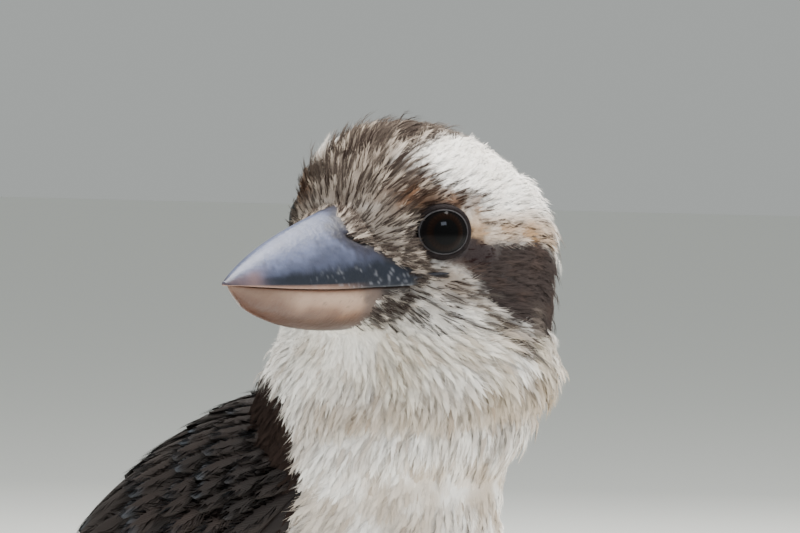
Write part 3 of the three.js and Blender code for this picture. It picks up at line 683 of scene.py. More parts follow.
def coat(name, p, n, length, width, rise, barbs, barb_width, sway, flecks):
    """Feathers rooted at p (mm) with normals n; length, width and rise are arrays."""
    count = len(p)
    lie = lie_of(p, n)
    side = np.cross(n, lie)
    lean = (rng.normal(0, sway, count) + 0.20 * value_noise(p, 13, 5))[:, None]
    lie = unit(lie + side * lean)
    side = np.cross(n, lie)
    color, streak = markings(p + lie * (0.35 * length)[:, None])
    color = color * rng.normal(1, 0.05, count)[:, None]
    dark = rng.random(count) < streak * (0.78 + 0.30 * value_noise(p, 2.6, 7))
    color = np.where(dark[:, None], mix(color, STREAK, 0.65 + 0.33 * rng.random(count)), color)
    light = ~dark & (streak > 0.8)
    color = np.where(light[:, None], mix(color, PALE_TIP, 0.42 * rng.random(count) ** 1.5), color)
    shade = flecks * rng.random(count) ** 2.5 * (1 - step(streak, 0.3, 0.8)) * step(color.sum(-1), 0.5, 1.2)
    color = mix(color, FLECK, shade)
    length = np.where(dark, length * 1.65, length)
    width = np.where(dark, width * 0.32, width)
    rise = np.where(dark, rise + 0.45, rise)
    uv_root = skin_uv(p)
    rise = rise * (1 + 0.28 * rng.normal(0, 1, count)).clip(0.4, 1.9)
    loose = rng.random(count) < 0.05
    rise = np.where(loose, rise + 1.2 + 0.8 * rng.random(count), rise)
    length = np.where(loose, length * 1.2, length)
    width = np.where(loose, width * 0.5, width)
    root = p - n * 0.6

    def shaft(t, lateral, extra):
        s = length * t
        high = rise * np.sin(np.clip(t, 0, 1) * np.pi * 0.55) - s * s / 95 + extra
        across = np.broadcast_to(lateral, (count,))
        high = high - 0.10 * np.abs(across) ** 1.4
        return root + lie * s[:, None] + side * across[:, None] + n * high[:, None]

    verts, quads, tris, colors, uvs, soft = [], [], [], [], [], []
    base = 0

    def put(path, half, tint, patch):
        nonlocal base
        v, q, t, per = blades(path, half, side, n)
        verts.append(v)
        quads.append(q + base)
        tris.append(t + base)
        base += len(v)
        colors.append(np.repeat(tint, per, axis=0))
        soft.append(soft_normals(n, side, per))
        local = np.tile(np.stack([np.linspace(-1, 1, per), np.linspace(-1, 1, per) ** 3], -1), (count, 1))
        uvs.append(np.repeat(uv_root, per, axis=0) + local * 0.0012 + np.array(patch) * 0.0001)

    path = np.stack([shaft(np.full(count, t), 0.0, -0.25) for t in (0.0, 0.5, 0.97)], 1)
    put(path, np.stack([0.07 * width, 0.10 * width], 1), color * 0.92, (0, 0))
    for j in range(barbs):
        hand = -1 if j % 2 else 1
        start = np.clip(0.60 * (j // 2) / max(1, (barbs - 1) // 2) + rng.normal(0, 0.05, count), 0, 0.7)
        reach = np.minimum(0.50, 1.05 - start) + rng.normal(0, 0.05, count)
        out = width * 0.5 * (1 - 0.5 * start) * (0.15 + 1.1 * rng.random(count)) * hand
        a = shaft(start, 0.10 * out, 0.0)
        b = shaft(start + reach, out, 0.05 + rng.normal(0, 0.40, count))
        w = barb_width * (1 + rng.normal(0, 0.15, count))
        tint = color * (0.90 + 0.20 * rng.random(count))[:, None]
        put(np.stack([a, b], 1), w[:, None], tint, (j, 1))
    verts, colors, uvs = np.concatenate(verts), np.concatenate(colors), np.concatenate(uvs)
    quads, tris = np.concatenate(quads), np.concatenate(tris)
    made = mesh_from(name, verts, [quads, tris], colors, uvs, np.concatenate(soft))
    finish_piece(made, PLUME, "white_plumage")
    print(name, "feathers", count, "triangles", len(quads) * 2 + len(tris))


def coat_in_pieces(name, p, n, length, width, rise, barbs, **kinds):
    """Cuts one coat into pieces with no more triangles than the limit, each a stretch of skin."""
    order = np.argsort(p[:, 2])[::-1]
    size = int(PIECE_LIMIT // (10 + 4 * barbs))
    for k, start in enumerate(range(0, len(p), size)):
        i = order[start : start + size]
        coat(f"{name}_{k + 1}", p[i], n[i], length[i], width[i], rise[i], barbs, **kinds)


PLUME = painted("plumage", 0.85, specular=0.03)
print("plumage material", PLUME.name)

# %% [markdown]
# The bill's outline is set down here, because the coat needs it too: the feathers begin along a
# margin that runs forward over each nostril and back to the corner of the mouth.

# %% Bill outline
BASE_X, TIP_X, GAPE_X = 43.0, 43.0 + 63 * 0.98, 20.0
CULMEN_TOP, TIP_UP, GAPE_UP = 9.5, -13.5, -11.0


def mouth_up(x):
    t = (x - GAPE_X) / (TIP_X - GAPE_X)
    return GAPE_UP + (TIP_UP - GAPE_UP) * t - 1.5 * np.sin(np.pi * np.clip(t, 0, 1))


def culmen_up(x):
    t = (x - BASE_X) / (TIP_X - BASE_X)
    return CULMEN_TOP + (TIP_UP - CULMEN_TOP) * (0.72 * t + 0.28 * np.maximum(t, 0) ** 4)


def half_width(x):
    t = np.clip((x - GAPE_X) / (TIP_X - GAPE_X), 0, 1)
    return 19 * (1 - t**1.35) ** 0.8 + 2.6 * (1 - step(x, 33, 47))


def jaw_depth(x):
    t = np.clip((x - GAPE_X) / (TIP_X - GAPE_X), 0, 1)
    return 14 * (1 - t**2.6) ** 0.8


def margin(y):
    return np.interp(np.abs(y), [0, 3, 5, 8, 9.8, 12.5, 15.5, 17, 18.5, 20],
                     [45.5, 50.0, 52.5, 52.2, 50.4, 46.0, 42, 39.3, 36, 32.5])


def upper_surface(x, share):
    """Points of the upper bill at a share of its half width, -1 to 1."""
    high = (1 - np.abs(share) ** 1.7) ** (1 / 1.7)
    return np.stack([x, share * half_width(x), mouth_up(x) + high * (culmen_up(x) - mouth_up(x))], -1)


def lower_surface(x, share):
    """Points of the lower bill at a share of its half width, -1 to 1."""
    low = (1 - np.abs(share) ** 2) ** 0.5
    return np.stack([x, share * half_width(x) * 0.9, mouth_up(x) - low * jaw_depth(x)], -1)


def lower_margin(share):
    """How far forward the feathers reach on the lower bill, from the mouth to the chin."""
    return np.interp(np.abs(share), [0, 0.4, 0.8, 0.97, 1], [46, 44.8, 44, 44.5, 44])


def inside_bill(h):
    x, y, z = h[:, 0], np.abs(h[:, 1]), h[:, 2]
    over = np.clip(z - mouth_up(x), 0, None) / np.maximum(culmen_up(x) - mouth_up(x), 0.5)
    under = np.clip(mouth_up(x) - z, 0, None) / np.maximum(jaw_depth(x), 0.5)
    wide = y / np.maximum(half_width(x), 0.5)
    return (x > 12) & (x < TIP_X) & (wide**1.7 + over**1.7 < 0.72) & ((wide / 0.9) ** 2 + under**2 < 0.72)


print("bill from", margin(0.0), "to", round(TIP_X, 1))

# %% [markdown]
# The head's feathers are the smallest, hardly longer than an eyelash by the bill, and they grow
# longer and shaggier toward the crown, as the photograph's ragged forehead shows.

# %% Coat of the head
THIN = 1
HEAD_TRIES, UPPER_TRIES, LOWER_TRIES = 44500 // THIN, 4600 // THIN, 3600 // THIN


def head_keep(p):
    h = head_of(p)
    return (p[:, 2] > 200) * off_eyes(p) * ~inside_bill(h) * (1 + 1.1 * step(h[:, 0], -4, 24))


def tufts(count, surface, outside, reach, angle, grown):
    """Feathers on the root of one mandible, where the rule grown lets them be."""
    x, share = rng.uniform(*reach, count), np.sin(rng.uniform(-angle, angle, count))
    q = surface(x, share)
    normal = outside * np.cross(surface(x + 0.2, share) - q, surface(x, np.minimum(share + 0.01, 1)) - q)
    ok = grown(x, share, q)
    return from_head(q[ok]), unit(normal[ok] @ HEAD.T)


def grown_above(x, share, q):
    ok = x < margin(q[:, 1]) + 0.8 * value_noise(q, 2.2, 22) + rng.normal(0, 0.4, len(x))
    return ok & (q[:, 2] > mouth_up(x) + 2.0)


def grown_below(x, share, q):
    return x < lower_margin(share) + 1.8 * value_noise(q, 3, 21) + rng.normal(0, 0.9, len(x))


p, n = scattered(HEAD_TRIES, 1.22, head_keep)
keep = off_eyes(p) & ~inside_bill(head_of(p))
above_p, above_n = tufts(UPPER_TRIES, upper_surface, 1, (28, 54), 1.41, grown_above)
below_p, below_n = tufts(LOWER_TRIES, lower_surface, -1, (20, 50), 1.5, grown_below)
p, n = np.concatenate([p[keep], above_p, below_p]), np.concatenate([n[keep], above_n, below_n])
h = head_of(p)
from_bill = np.linalg.norm(p - BILL_ROOT, axis=-1)
crown = step(h[:, 2], 8, 22) * step(h[:, 0], -6, 16)
length = np.interp(from_bill, [8, 20, 40, 70, 90], [2.8, 4.4, 6.2, 8.2, 9.5]) * (1 + 0.40 * crown)
length = length * (1 + 0.14 * rng.normal(0, 1, len(p)))
by_eye = np.min([np.linalg.norm(p - eye["centre"] - eye["axis"] * 6, axis=-1) for eye in EYES], axis=0)
before_eye = step(h[:, 0] - 24.5, 2, 7) * (1 - step(by_eye, 12, 18))
length = length * (np.interp(by_eye, [7, 10, 16], [0.45, 0.6, 1]) * (1 - before_eye) + 0.95 * before_eye)
lie = lie_of(p, n)
for eye in EYES:
    along, radial, across = from_eye(p, eye)
    heading = -(across * lie).sum(1) / np.maximum(radial, 1)
    room = np.maximum((radial - 7.9) / np.maximum(heading, 0.3), 1.1)
    length = np.where((along > -2) & (radial < 20) & (heading > 0.35), np.minimum(length, room), length)
bare = bare_patch(h)
length = np.where(bare > 0.3, np.minimum(length, 1.4), length)
width = length * 0.75
rise = np.interp(from_bill, [8, 30, 60, 90], [0.8, 1.3, 1.9, 2.5]) + 1.3 * crown
rise = rise * np.interp(by_eye, [7, 16], [0.5, 1]) * (1 - 0.7 * bare) + 1.1 * before_eye
coat_in_pieces("coat_head", p, n, length, width, rise, barbs=11, barb_width=0.088, sway=0.08, flecks=0.30)

# %% [markdown]
# The neck and breast are off-white, with long loose barbs that part into soft tufts. The belly,
# the flanks and the feathered thighs carry the same coat a little longer and sparser.

# %% Coat of the neck and body
WING_SLOPE = math.radians(32.5)
SHOULDER_FORWARD, SHOULDER_UP = 42, 158
BODY_TRIES = 42000 // THIN


def wing_covered(p):
    b = body_of(p)
    forward, up = SHOULDER_FORWARD - b[:, 0], SHOULDER_UP - b[:, 2]
    along = forward * math.cos(WING_SLOPE) + up * math.sin(WING_SLOPE)
    over = forward * math.sin(WING_SLOPE) - up * math.cos(WING_SLOPE)
    theta = np.degrees(np.arctan2(over, np.abs(b[:, 1])))
    low = np.interp(along, [0, 25, 60, 100, 200], [-13, -17, -25, -12, 36])
    high = np.interp(along, [0, 60, 150, 200], [62, 86, 86, 80])
    return (along > 12) & (theta > low + 10) & (theta < high - 8)


def body_keep(p):
    return (p[:, 2] <= 203) * ~wing_covered(p) * (1 + 2.2 * step(p[:, 2], 120, 145))


p, n = scattered(BODY_TRIES, 1.5, body_keep)
b = body_of(p)
length = np.interp(b[:, 2], [40, 90, 140, 203], [11.5, 12.0, 11.0, 9.3])
length = length * (1 + 0.14 * rng.normal(0, 1, len(p)))
thigh = (b[:, 2] < 62) & (np.abs(b[:, 1]) > 12) & (b[:, 0] > -22)
length[thigh] *= 0.7
width = length * 0.80
rise = np.interp(b[:, 2], [40, 120, 160, 203], [2.2, 2.2, 1.7, 1.7])
under_fold = b[:, 2] - fold_up(b)
rise = rise + 3.2 * step(b[:, 0], 55, 78) * np.exp(-(((b[:, 2] - 192) / 17) ** 2))
rise = rise + 2.2 * np.exp(-(((under_fold - 4) / 4.5) ** 2)) * step(b[:, 0], 35, 55)
rise[thigh] *= 0.7
coat_in_pieces("coat_body", p, n, length, width, rise, barbs=13, barb_width=0.092, sway=0.09, flecks=0.62)

# %% [markdown]
# The bill is two horn mandibles, far stronger than the skull behind them looks. Each starts as
# a round primitive whose rings are drawn out along the bill: the upper is a keel with a flat
# culmen and swelling sides, the lower a deep scoop, and they meet along a nearly straight mouth.

# %% Bill
REAR_X, LOWER_SHORT = 8.0, 4.0


def nostril_depth(q):
    """The nostril is a slit under the feather margin, sloping down toward the face."""
    u, v = q[:, 0] - 49.6, q[:, 2] - 0.1
    along, across = u * 0.95 + v * 0.30, v * 0.95 - u * 0.30
    return np.exp(-((along / 3.6) ** 4) - (across / 0.85) ** 2) * (np.abs(q[:, 1]) > 6)


def mandible(name, side, tip_x):
    """The upper bill for side 1 or the lower for side -1, and its points in the head's frame."""
    obj = ball(144, 160)
    obj.name = name
    q = points_of(obj) * MM
    t = np.arccos(np.clip(q[:, 2], -1, 1)) / np.pi
    angle = np.arctan2(q[:, 1], q[:, 0])
    c, s = np.cos(angle), np.sin(angle)
    x = REAR_X + (tip_x - REAR_X) * (1 - (1 - t) ** 1.35)
    wide = half_width(np.minimum(x, tip_x - 0.02)) * (0.985 if side > 0 else 0.9)
    wide = wide * (0.85 + 0.15 * step(x, REAR_X, 24))
    tall = np.maximum(culmen_up(x) - mouth_up(x), 0.9)
    if side < 0:
        wide = wide * np.sqrt(np.clip((tip_x - x) / 14, 0.0, 1)) ** 0.5
        tall = jaw_depth(x) * np.sqrt(np.clip((tip_x - x) / 10, 0, 1)) ** 0.6
    tall = tall * np.where(t > 0.985, (1 - t) / 0.015, 1).clip(0.2, 1)
    full = 1.7 if side > 0 else 2.1
    across = np.sign(c) * np.abs(c) ** (2 / full)
    lip = np.where(s >= 0, np.abs(s) ** (2 / full) * tall, -0.35 * np.abs(s) * (1 - across**2))
    pinch = np.where(t <= 0.001, 0.0, 1.0)
    local = np.stack([x, across * wide * pinch, mouth_up(x) + side * (0.12 + lip)], -1)
    if side > 0:
        local[:, 1] -= np.sign(local[:, 1]) * 1.5 * nostril_depth(local)
    set_points(obj, from_head(local))
    outward(obj)
    bpy.ops.object.shade_smooth()
    return obj, local


upper, upper_local = mandible("bill_horn_upper", 1, TIP_X)
lower, lower_local = mandible("bill_horn_lower", -1, TIP_X - LOWER_SHORT)
print("bill tip", points_of(upper).min(0).round(1))

# %% [markdown]
# The horn is painted in layers, from the ground colour up: the upper mandible is blackish, with a
# painted reflection of the sky in blue-grey along the culmen and a worn pale edge; the lower one is
# buff above, where a painted highlight brightens it, and brown along its keel, darkened there by
# painted shade. Painted shade also lies where the feathers cover the horn and in the nostril.
# Noise frays each layer, so that the horn looks worn and not sprayed.

# %% Colours of the bill
HORN = {"bump": 0.35, "scale": 520, "specular": 0.28}
x, y, z = upper_local.T
share = np.clip((x - BASE_X) / (TIP_X - BASE_X), -0.4, 1)
drop = (z - mouth_up(x)) / np.maximum(culmen_up(x) - mouth_up(x), 1)
world = points_of(upper)
n1, n2, n3 = value_noise(world, 5, 8), value_noise(world, 1.6, 9), value_noise(world, 0.9, 10)
band = (1 - step(drop + 0.06 * n1 + 0.04 * n2, 0.24, 0.43)) * (1 - step(share + 0.08 * n1, 0.66, 0.98))
near_coat = 1 - step(x - margin(y) + 1.8 * n2 + n1, 2.0, 8.5)
scratches = step(n3, 0.35, 0.65) * (1 - step(share, 0.20, 0.6)) * (1 - step(drop, 0.22, 0.4)) * 0.30
tone = layered(
    [0.042, 0.048, 0.078],
    # a paler blue-grey along the culmen, a painted reflection of the sky, and dark flakes in it
    ([0.080, 0.092, 0.150], step(drop + 0.12 * n1 + 0.07 * n2, 0.42, 0.70) * (0.80 + 0.15 * n2)),
    ([0.028, 0.030, 0.046], step(value_noise(world, 2.6, 33) + 0.3 * n2, 0.25, 0.8) * 0.45),
    # black band on the side, paler horn before it, and the dark tip
    ([0.006, 0.008, 0.013], band * 0.97),
    ([0.13, 0.075, 0.065], step(share + 0.1 * n1, 0.70, 0.96) * (1 - step(drop, 0.5, 0.9)) * 0.7),
    ([0.030, 0.026, 0.036], step(share + 0.03 * n2, 0.90, 0.985) * 0.8),
    # worn cutting edge, painted shade by the feathers, the nostril painted near black as the shade in its
    # opening, and fine scratches
    ([0.24, 0.14, 0.10], (1 - step(drop, 0.03, 0.10)) * 0.8 * step(share, 0.05, 0.4)),
    ([0.014, 0.013, 0.019], near_coat * 0.90 * step(drop, 0.3, 0.5)),
    ([0.004, 0.003, 0.004], np.clip(nostril_depth(upper_local) * 1.6, 0, 1)),
    ([0.24, 0.24, 0.26], scratches),
)
# painted shade on the horn where the feathers cover its root
shade_under_coat = 1 - step(x - margin(y), -1.5, 0.5)
paint(upper.data, mix(tone * (1 + 0.14 * n1[:, None] + 0.07 * n2[:, None]), [0.020, 0.016, 0.016], shade_under_coat))
finish_piece(upper, painted("upper_horn", 0.40, **HORN), "upper_bill", "bill_upper")

x, y, z = lower_local.T
share = np.clip((x - 30) / (TIP_X - 30), 0, 1)
drop = (mouth_up(x) - z) / np.maximum(jaw_depth(x), 1)
world = points_of(lower)
n1, n2, n3 = value_noise(world, 5, 18), value_noise(world, 1.8, 19), value_noise(world, 0.8, 20)
tone = layered(
    [0.17, 0.088, 0.052],
    # pale upper half, the horn's buff brightened by a painted highlight, with a dark rim
    ([0.36, 0.245, 0.175], (1 - step(drop + 0.12 * n1, 0.22, 0.66)) * step(drop, 0.03, 0.16) * 0.75),
    ([0.07, 0.032, 0.020], (1 - step(drop, 0.03, 0.10)) * 0.8),
    # dark keel, the brown horn darkened by painted shade underneath, brown front and small spots
    ([0.024, 0.0085, 0.0045], step(drop + 0.12 * n1, 0.40, 0.88) * 0.92),
    ([0.058, 0.023, 0.012], step(share + 0.10 * n1, 0.46, 0.84) * 0.82),
    ([0.06, 0.036, 0.03], step(n3 + 0.25 * drop - 0.30 * share, 0.48, 0.72) * 0.42),
    # shade by the feathers, and under them
    ([0.055, 0.034, 0.028], (1 - step(x - 44.5 + 3.5 * n1 + 2 * n2, -2, 7)) * 0.88),
    ([0.020, 0.014, 0.012], (1 - step(x - 42.5 + n1 + n2, -2.5, 1)) * 0.90),
)
paint(lower.data, tone * (1 + 0.10 * n1[:, None]))
finish_piece(lower, painted("lower_horn", 0.42, **HORN), "lower_bill", "bill_lower")
print("bill faces", len(upper.data.polygons) + len(lower.data.polygons))

# %% [markdown]
# Behind the horn the mouth runs on below the eye as two thin bare lips with a dark line between
# them, painted near black as the shade in the mouth's crease. Each is a slim tube laid on the skin,
# fat at the bill and fading to nothing at the back.

# %% Corners of the mouth
skin_tree = kdtree.KDTree(len(skin_points))
for index, place in enumerate(skin_points):
    skin_tree.insert(place, index)
skin_tree.balance()


def on_skin(p, height):
    out = []
    for q in p:
        near = [i for _, i, _ in skin_tree.find_n(q, 6)]
        normal = unit(skin_normals[near].mean(0))
        centre = skin_points[near].mean(0)
        out.append(q - normal * ((q - centre) @ normal) + normal * height)
    return np.array(out)


def curve(points, count):
    """A smooth line through points, by Catmull and Rom."""
    pts = np.asarray(points, float)
    pts = np.concatenate([[2 * pts[0] - pts[1]], pts, [2 * pts[-1] - pts[-2]]])
    u = np.linspace(0, len(pts) - 3 - 1e-6, count)
    i = u.astype(int)
    f = (u - i)[:, None]
    a, b, c, d = pts[i], pts[i + 1], pts[i + 2], pts[i + 3]
    return 0.5 * (2 * b + (c - a) * f + (2 * a - 5 * b + 4 * c - d) * f**2 + (3 * b - 3 * c + d - a) * f**3)


def tube_caps(rings, around):
    """The two end faces of a tube, for the faces of tube_quads."""
    return np.stack([np.arange(around)[::-1], np.arange(around) + (rings - 1) * around])


def limb(points, radius_at, rings, around, flat=1.0):
    """A tube round a smooth line, whose radius is a rule of t along it and the angle round it."""
    line = curve(points, rings)
    tangent = unit(np.gradient(line, axis=0))
    side = unit(np.cross(tangent, [0.02, 0.05, 1.0]))
    high = np.cross(side, tangent)
    angle = np.linspace(0, 2 * np.pi, around, endpoint=False)
    t = np.linspace(0, 1, rings)[:, None] * np.ones((1, around))
    r = radius_at(t, np.broadcast_to(angle, t.shape))
    verts = line[:, None] + side[:, None] * (r * np.cos(angle) * flat)[..., None]
    verts = verts + high[:, None] * (r * np.sin(angle))[..., None]
    return verts.reshape(-1, 3), tube_quads(rings, around), tube_caps(rings, around), t.ravel()


LIP = painted("lip", 0.6, bump=0.4, scale=2400, specular=0.15)
LIP_LINE = (
    (38, 16.5, -11.6), (33.5, 20.2, -11.0), (29.5, 23.4, -9.8), (25.5, 25.4, -8.9), (22.5, 27.0, -8.8),
)
# part, lift over the mouth's line, thickness, height off the skin, tone
LIP_PARTS = (
    ("upper", 0.70, 0.95, 0.30, [0.022, 0.022, 0.027]),
    ("lower", -0.50, 0.62, 0.30, [0.055, 0.040, 0.034]),
    # the line is painted near black as the shade in the crease where the lips meet
    ("line", 0, 0.34, 0.62, [0.008, 0.006, 0.006]),
)
for name, hand in (("left", 1), ("right", -1)):
    for part, lift, fat, high, tone in LIP_PARTS:
        path = from_head([[x, hand * y, z + lift] for x, y, z in LIP_LINE])
        path = np.concatenate([path[:1], on_skin(path[1:], high)])
        v, quads, caps, _ = limb(path, lambda t, angle: fat * (1 - t) ** 0.7 + 0.10, 40, 14)
        colors = np.broadcast_to(tone, v.shape) * (1 + 0.3 * value_noise(v, 1.0, 6)[:, None])
        lip = mesh_from(f"lip_{part}_{name}", v, [quads, caps], colors, skin_uv(v))
        outward(lip)
        finish_piece(lip, LIP, "lower_bill" if part == "lower" else "upper_bill")
print("lips end at", head_of(path[-1]).round(1))

# %% [markdown]
# A kookaburra's eye is large and nearly black, with a brown iris round a wide pupil, under a
# glossy bulging front. A dark bare lid with a thin paler rim goes round it. The ball is a sphere,
# and the lid and the rim are rings, all turned to face along the eye's own axis.

# %% Eyes
EYE_RADIUS, FLAT_FROM, FLATTENED = 9.15, 4.94, 0.66


def pressed(z):
    """The front of the eye is flatter than a sphere."""
    return np.where(z > FLAT_FROM, FLAT_FROM + (z - FLAT_FROM) * FLATTENED, z)


def set_in_eye(obj, points, tone, eye):
    """Gives a round form its points and colours, and turns it to look along the eye's axis."""
    set_points(obj, points)
    paint(obj.data, tone)
    active(obj)
    obj.rotation_euler = Vector(eye["axis"]).to_track_quat("Z", "Y").to_euler()
    obj.location = Vector(eye["centre"] * MM)
    bpy.ops.object.transform_apply(location=True, rotation=True, scale=True)
    bpy.ops.object.shade_smooth()


EYE_GLOSS = painted("eyeball", 0.05, specular=0.045)
LID = painted("lid", 0.7, bump=0.5, scale=2600, specular=0.08)
# part, ring's radius, thickness, height over the ball, tone
LID_PARTS = (
    ("lid_", 7.7, 0.95, -0.2, [0.009, 0.006, 0.006]),
    ("rim_", 6.85, 0.22, 0.12, [0.036, 0.033, 0.034]),
)
for name, eye in (("left", EYES[0]), ("right", EYES[1])):
    eyeball = ball(96, 64, EYE_RADIUS)
    eyeball.name = "eyeball_" + name
    q = points_of(eyeball)
    radial = np.hypot(q[:, 0], q[:, 1])
    front = q[:, 2] > 0
    q[:, 2] += np.where(front, 0.55 * np.clip(1 - (radial / 5.6) ** 2, 0, 1) ** 0.7, 0)
    q[:, 2] = pressed(q[:, 2])
    angle = np.arctan2(q[:, 1], q[:, 0])
    fibres = 0.5 + 0.5 * np.sin(angle * 46 + 3 * np.sin(angle * 7))
    iris = mix([0.0040, 0.0022, 0.0016], [0.0085, 0.0045, 0.003], fibres * step(radial, 3.9, 5.2))
    tone = layered(
        [0.002, 0.002, 0.002],
        (iris, step(radial, 3.6, 3.95) * front),
        ([0.003, 0.0025, 0.0025], step(radial, 5.25, 5.7)),
    )
    set_in_eye(eyeball, q, tone, eye)
    finish_piece(eyeball, EYE_GLOSS, "eye", "eye_" + name)

    for part, major, minor, height, tone in LID_PARTS:
        bpy.ops.mesh.primitive_torus_add(
            major_segments=96, minor_segments=16, major_radius=major * MM, minor_radius=minor * MM
        )
        lid = bpy.context.object
        lid.name = part + name
        q = points_of(lid)
        radial = np.hypot(q[:, 0], q[:, 1])
        angle = np.arctan2(q[:, 1], q[:, 0])
        wide = 1 + 0.085 * np.cos(2 * angle)
        wrinkle = 0.12 * np.sin(angle * 38 + 2 * np.sin(angle * 5)) * step(radial, 7.4, 8.2)
        seat = pressed(np.sqrt(np.maximum(EYE_RADIUS**2 - (major * wide) ** 2, 1)))
        q[:, 2] = q[:, 2] * 0.8 + seat + height + wrinkle - 0.35 * (radial - major)
        q[:, :2] *= wide[:, None]
        set_in_eye(lid, q, np.array(tone) * (1 + 0.3 * value_noise(q, 1.2, 4)[:, None]), eye)
        finish_piece(lid, LID, "eye")
print("eyes at", [e["centre"].round(1).tolist() for e in EYES])

# %% [markdown]
# The folded wing lies on the body like roof tiles. A smooth bed, cast outward from a line along
# the wing through the melted eggs of the body, gives every feather its seat, and a low swelling
# over the bed is the thickness of the folded wing.

# %% Wing surface
def egg(centre, radii, slope):
    return at(*centre), turn("Z", -90) @ turn("Y", -slope), np.array(radii, float)


BED = [
    egg((-18, 0, 114), (72, 44, 41), 47),
    egg((26, 0, 138), (44, 46, 48), 47),
    egg((7, 0, 110), (52, 42, 41), 61),
    egg((-42, 0, 84), (42, 35, 30), 35),
    egg((-62, 0, 90), (80, 30, 17), 32.5),
    egg((-104, 0, 64), (52, 19, 8), 32.5),
]
MELT = 5.0


def melted(p):
    """Distance in mm from the surface of all the eggs together, their seams rounded off."""
    total = 0
    for centre, axes, radii in BED:
        q = (p - centre) @ axes / radii
        k0, k1 = np.linalg.norm(q, axis=-1), np.linalg.norm(q / radii, axis=-1)
        total = total + np.exp(-(k0 * (k0 - 1) / np.maximum(k1, 1e-9)) / MELT)
    return -MELT * np.log(total)


ALONG = np.array([0, math.cos(WING_SLOPE), -math.sin(WING_SLOPE)])
OVER = np.array([0, math.sin(WING_SLOPE), math.cos(WING_SLOPE)])


def wing_centre(s):
    return at(SHOULDER_FORWARD, 0, SHOULDER_UP) + np.asarray(s)[..., None] * ALONG


def wing_direction(theta):
    return np.cos(theta)[..., None] * np.array([1.0, 0, 0]) + np.sin(theta)[..., None] * OVER


bed_s = np.linspace(-12, 222, 40)
bed_theta = np.radians(np.linspace(-70, 100, 25))
grid_s, grid_theta = np.meshgrid(bed_s, bed_theta, indexing="ij")
reaches = np.linspace(0, 110, 111)
ray = wing_centre(grid_s)[:, :, None] + wing_direction(grid_theta)[:, :, None] * reaches[None, None, :, None]
outside = melted(ray) > 0
bed_radius = np.maximum(reaches[outside.argmax(-1)] - 0.5, 3.0)
for _ in range(2):
    r = bed_radius
    beside = r[:-2, 1:-1] + r[2:, 1:-1] + r[1:-1, :-2] + r[1:-1, 2:]
    bed_radius[1:-1, 1:-1] = (beside + 2 * r[1:-1, 1:-1]) / 6


def bed(s, theta):
    """How far the bed lies from the wing's own line, between the points of its grid."""
    u = np.clip((s - bed_s[0]) / (bed_s[1] - bed_s[0]), 0, len(bed_s) - 1.001)
    v = np.clip((theta - bed_theta[0]) / (bed_theta[1] - bed_theta[0]), 0, len(bed_theta) - 1.001)
    i, j = u.astype(int), v.astype(int)
    u, v = u - i, v - j
    low = bed_radius[i, j] * (1 - v) + bed_radius[i, j + 1] * v
    high = bed_radius[i + 1, j] * (1 - v) + bed_radius[i + 1, j + 1] * v
    return low * (1 - u) + high * u


def wing_low(s):
    """The angle round the wing's own line where its lower edge is, by the place along it."""
    rising = 72 * np.clip(np.asarray(s, float) / 200, 0, 1) ** 1.6
    return np.radians(-34 + 22 * (1 - step(s, 10, 62)) + rising)


def wing_high(s):
    return np.radians(62 + 24 * step(s, 0, 60) - 8 * step(s, 150, 210))


def wing_thick(s):
    return 1.8 - 0.6 * step(s, 0, 140) + 10 * np.sin(np.pi * np.clip(np.asarray(s, float) / 160, 0, 1)) ** 2.4


def on_wing(s, theta, height, side):
    s, theta = np.asarray(s, float), np.asarray(theta, float)
    low, high = wing_low(s), wing_high(s)
    share = np.clip((theta - low) / (high - low), 0, 1)
    arch = np.sin(np.pi * (0.06 + 0.88 * share)) ** 0.6
    top = wing_thick(np.maximum(s, 0)) * arch + np.minimum(s, 0) * 0.35
    lead = 21 * (1 - np.clip(s / 110, 0, 1)) ** 2 * step(np.degrees(theta), 2, 47)
    station = s - lead
    tucked = 2.0 * step(s, 120, 160) + 4.5 * step(s, 160, 200)
    out = np.maximum(bed(station, theta) + top + height - tucked, 1.5)
    p = wing_centre(station) + wing_direction(theta) * out[..., None]
    p[..., 0] = ORIGIN[0] + (p[..., 0] - ORIGIN[0]) * (1 - 0.38 * step(s, 112, 190))
    p[..., 2] -= 18 * step(s, 125, 185)
    if side < 0:
        p[..., 0] = 2 * ORIGIN[0] - p[..., 0]
    return p


print("wing surface reaches", on_wing(np.array([60.0]), np.array([0.4]), np.array([0.0]), 1).round(1))

# %% [markdown]
# A wing or tail feather is a stiff shaft with a vane on each side, closed above and below. Its
# rows run from root to tip and its ring has seven points above and three below. A number called
# Barb rises along the feather and away from the shaft, and gives the material its fine barbs.

# %% Vanes
# a point's place from shaft to edge, and its height over the vane's middle or under it
RING = np.array([
    (-1, 0), (-0.66, 0.16), (-0.33, 0.16), (0, 0.45), (0.33, 0.16), (0.66, 0.16), (1, 0),
    (0.5, -0.22), (0, -0.22), (-0.5, -0.22),
])


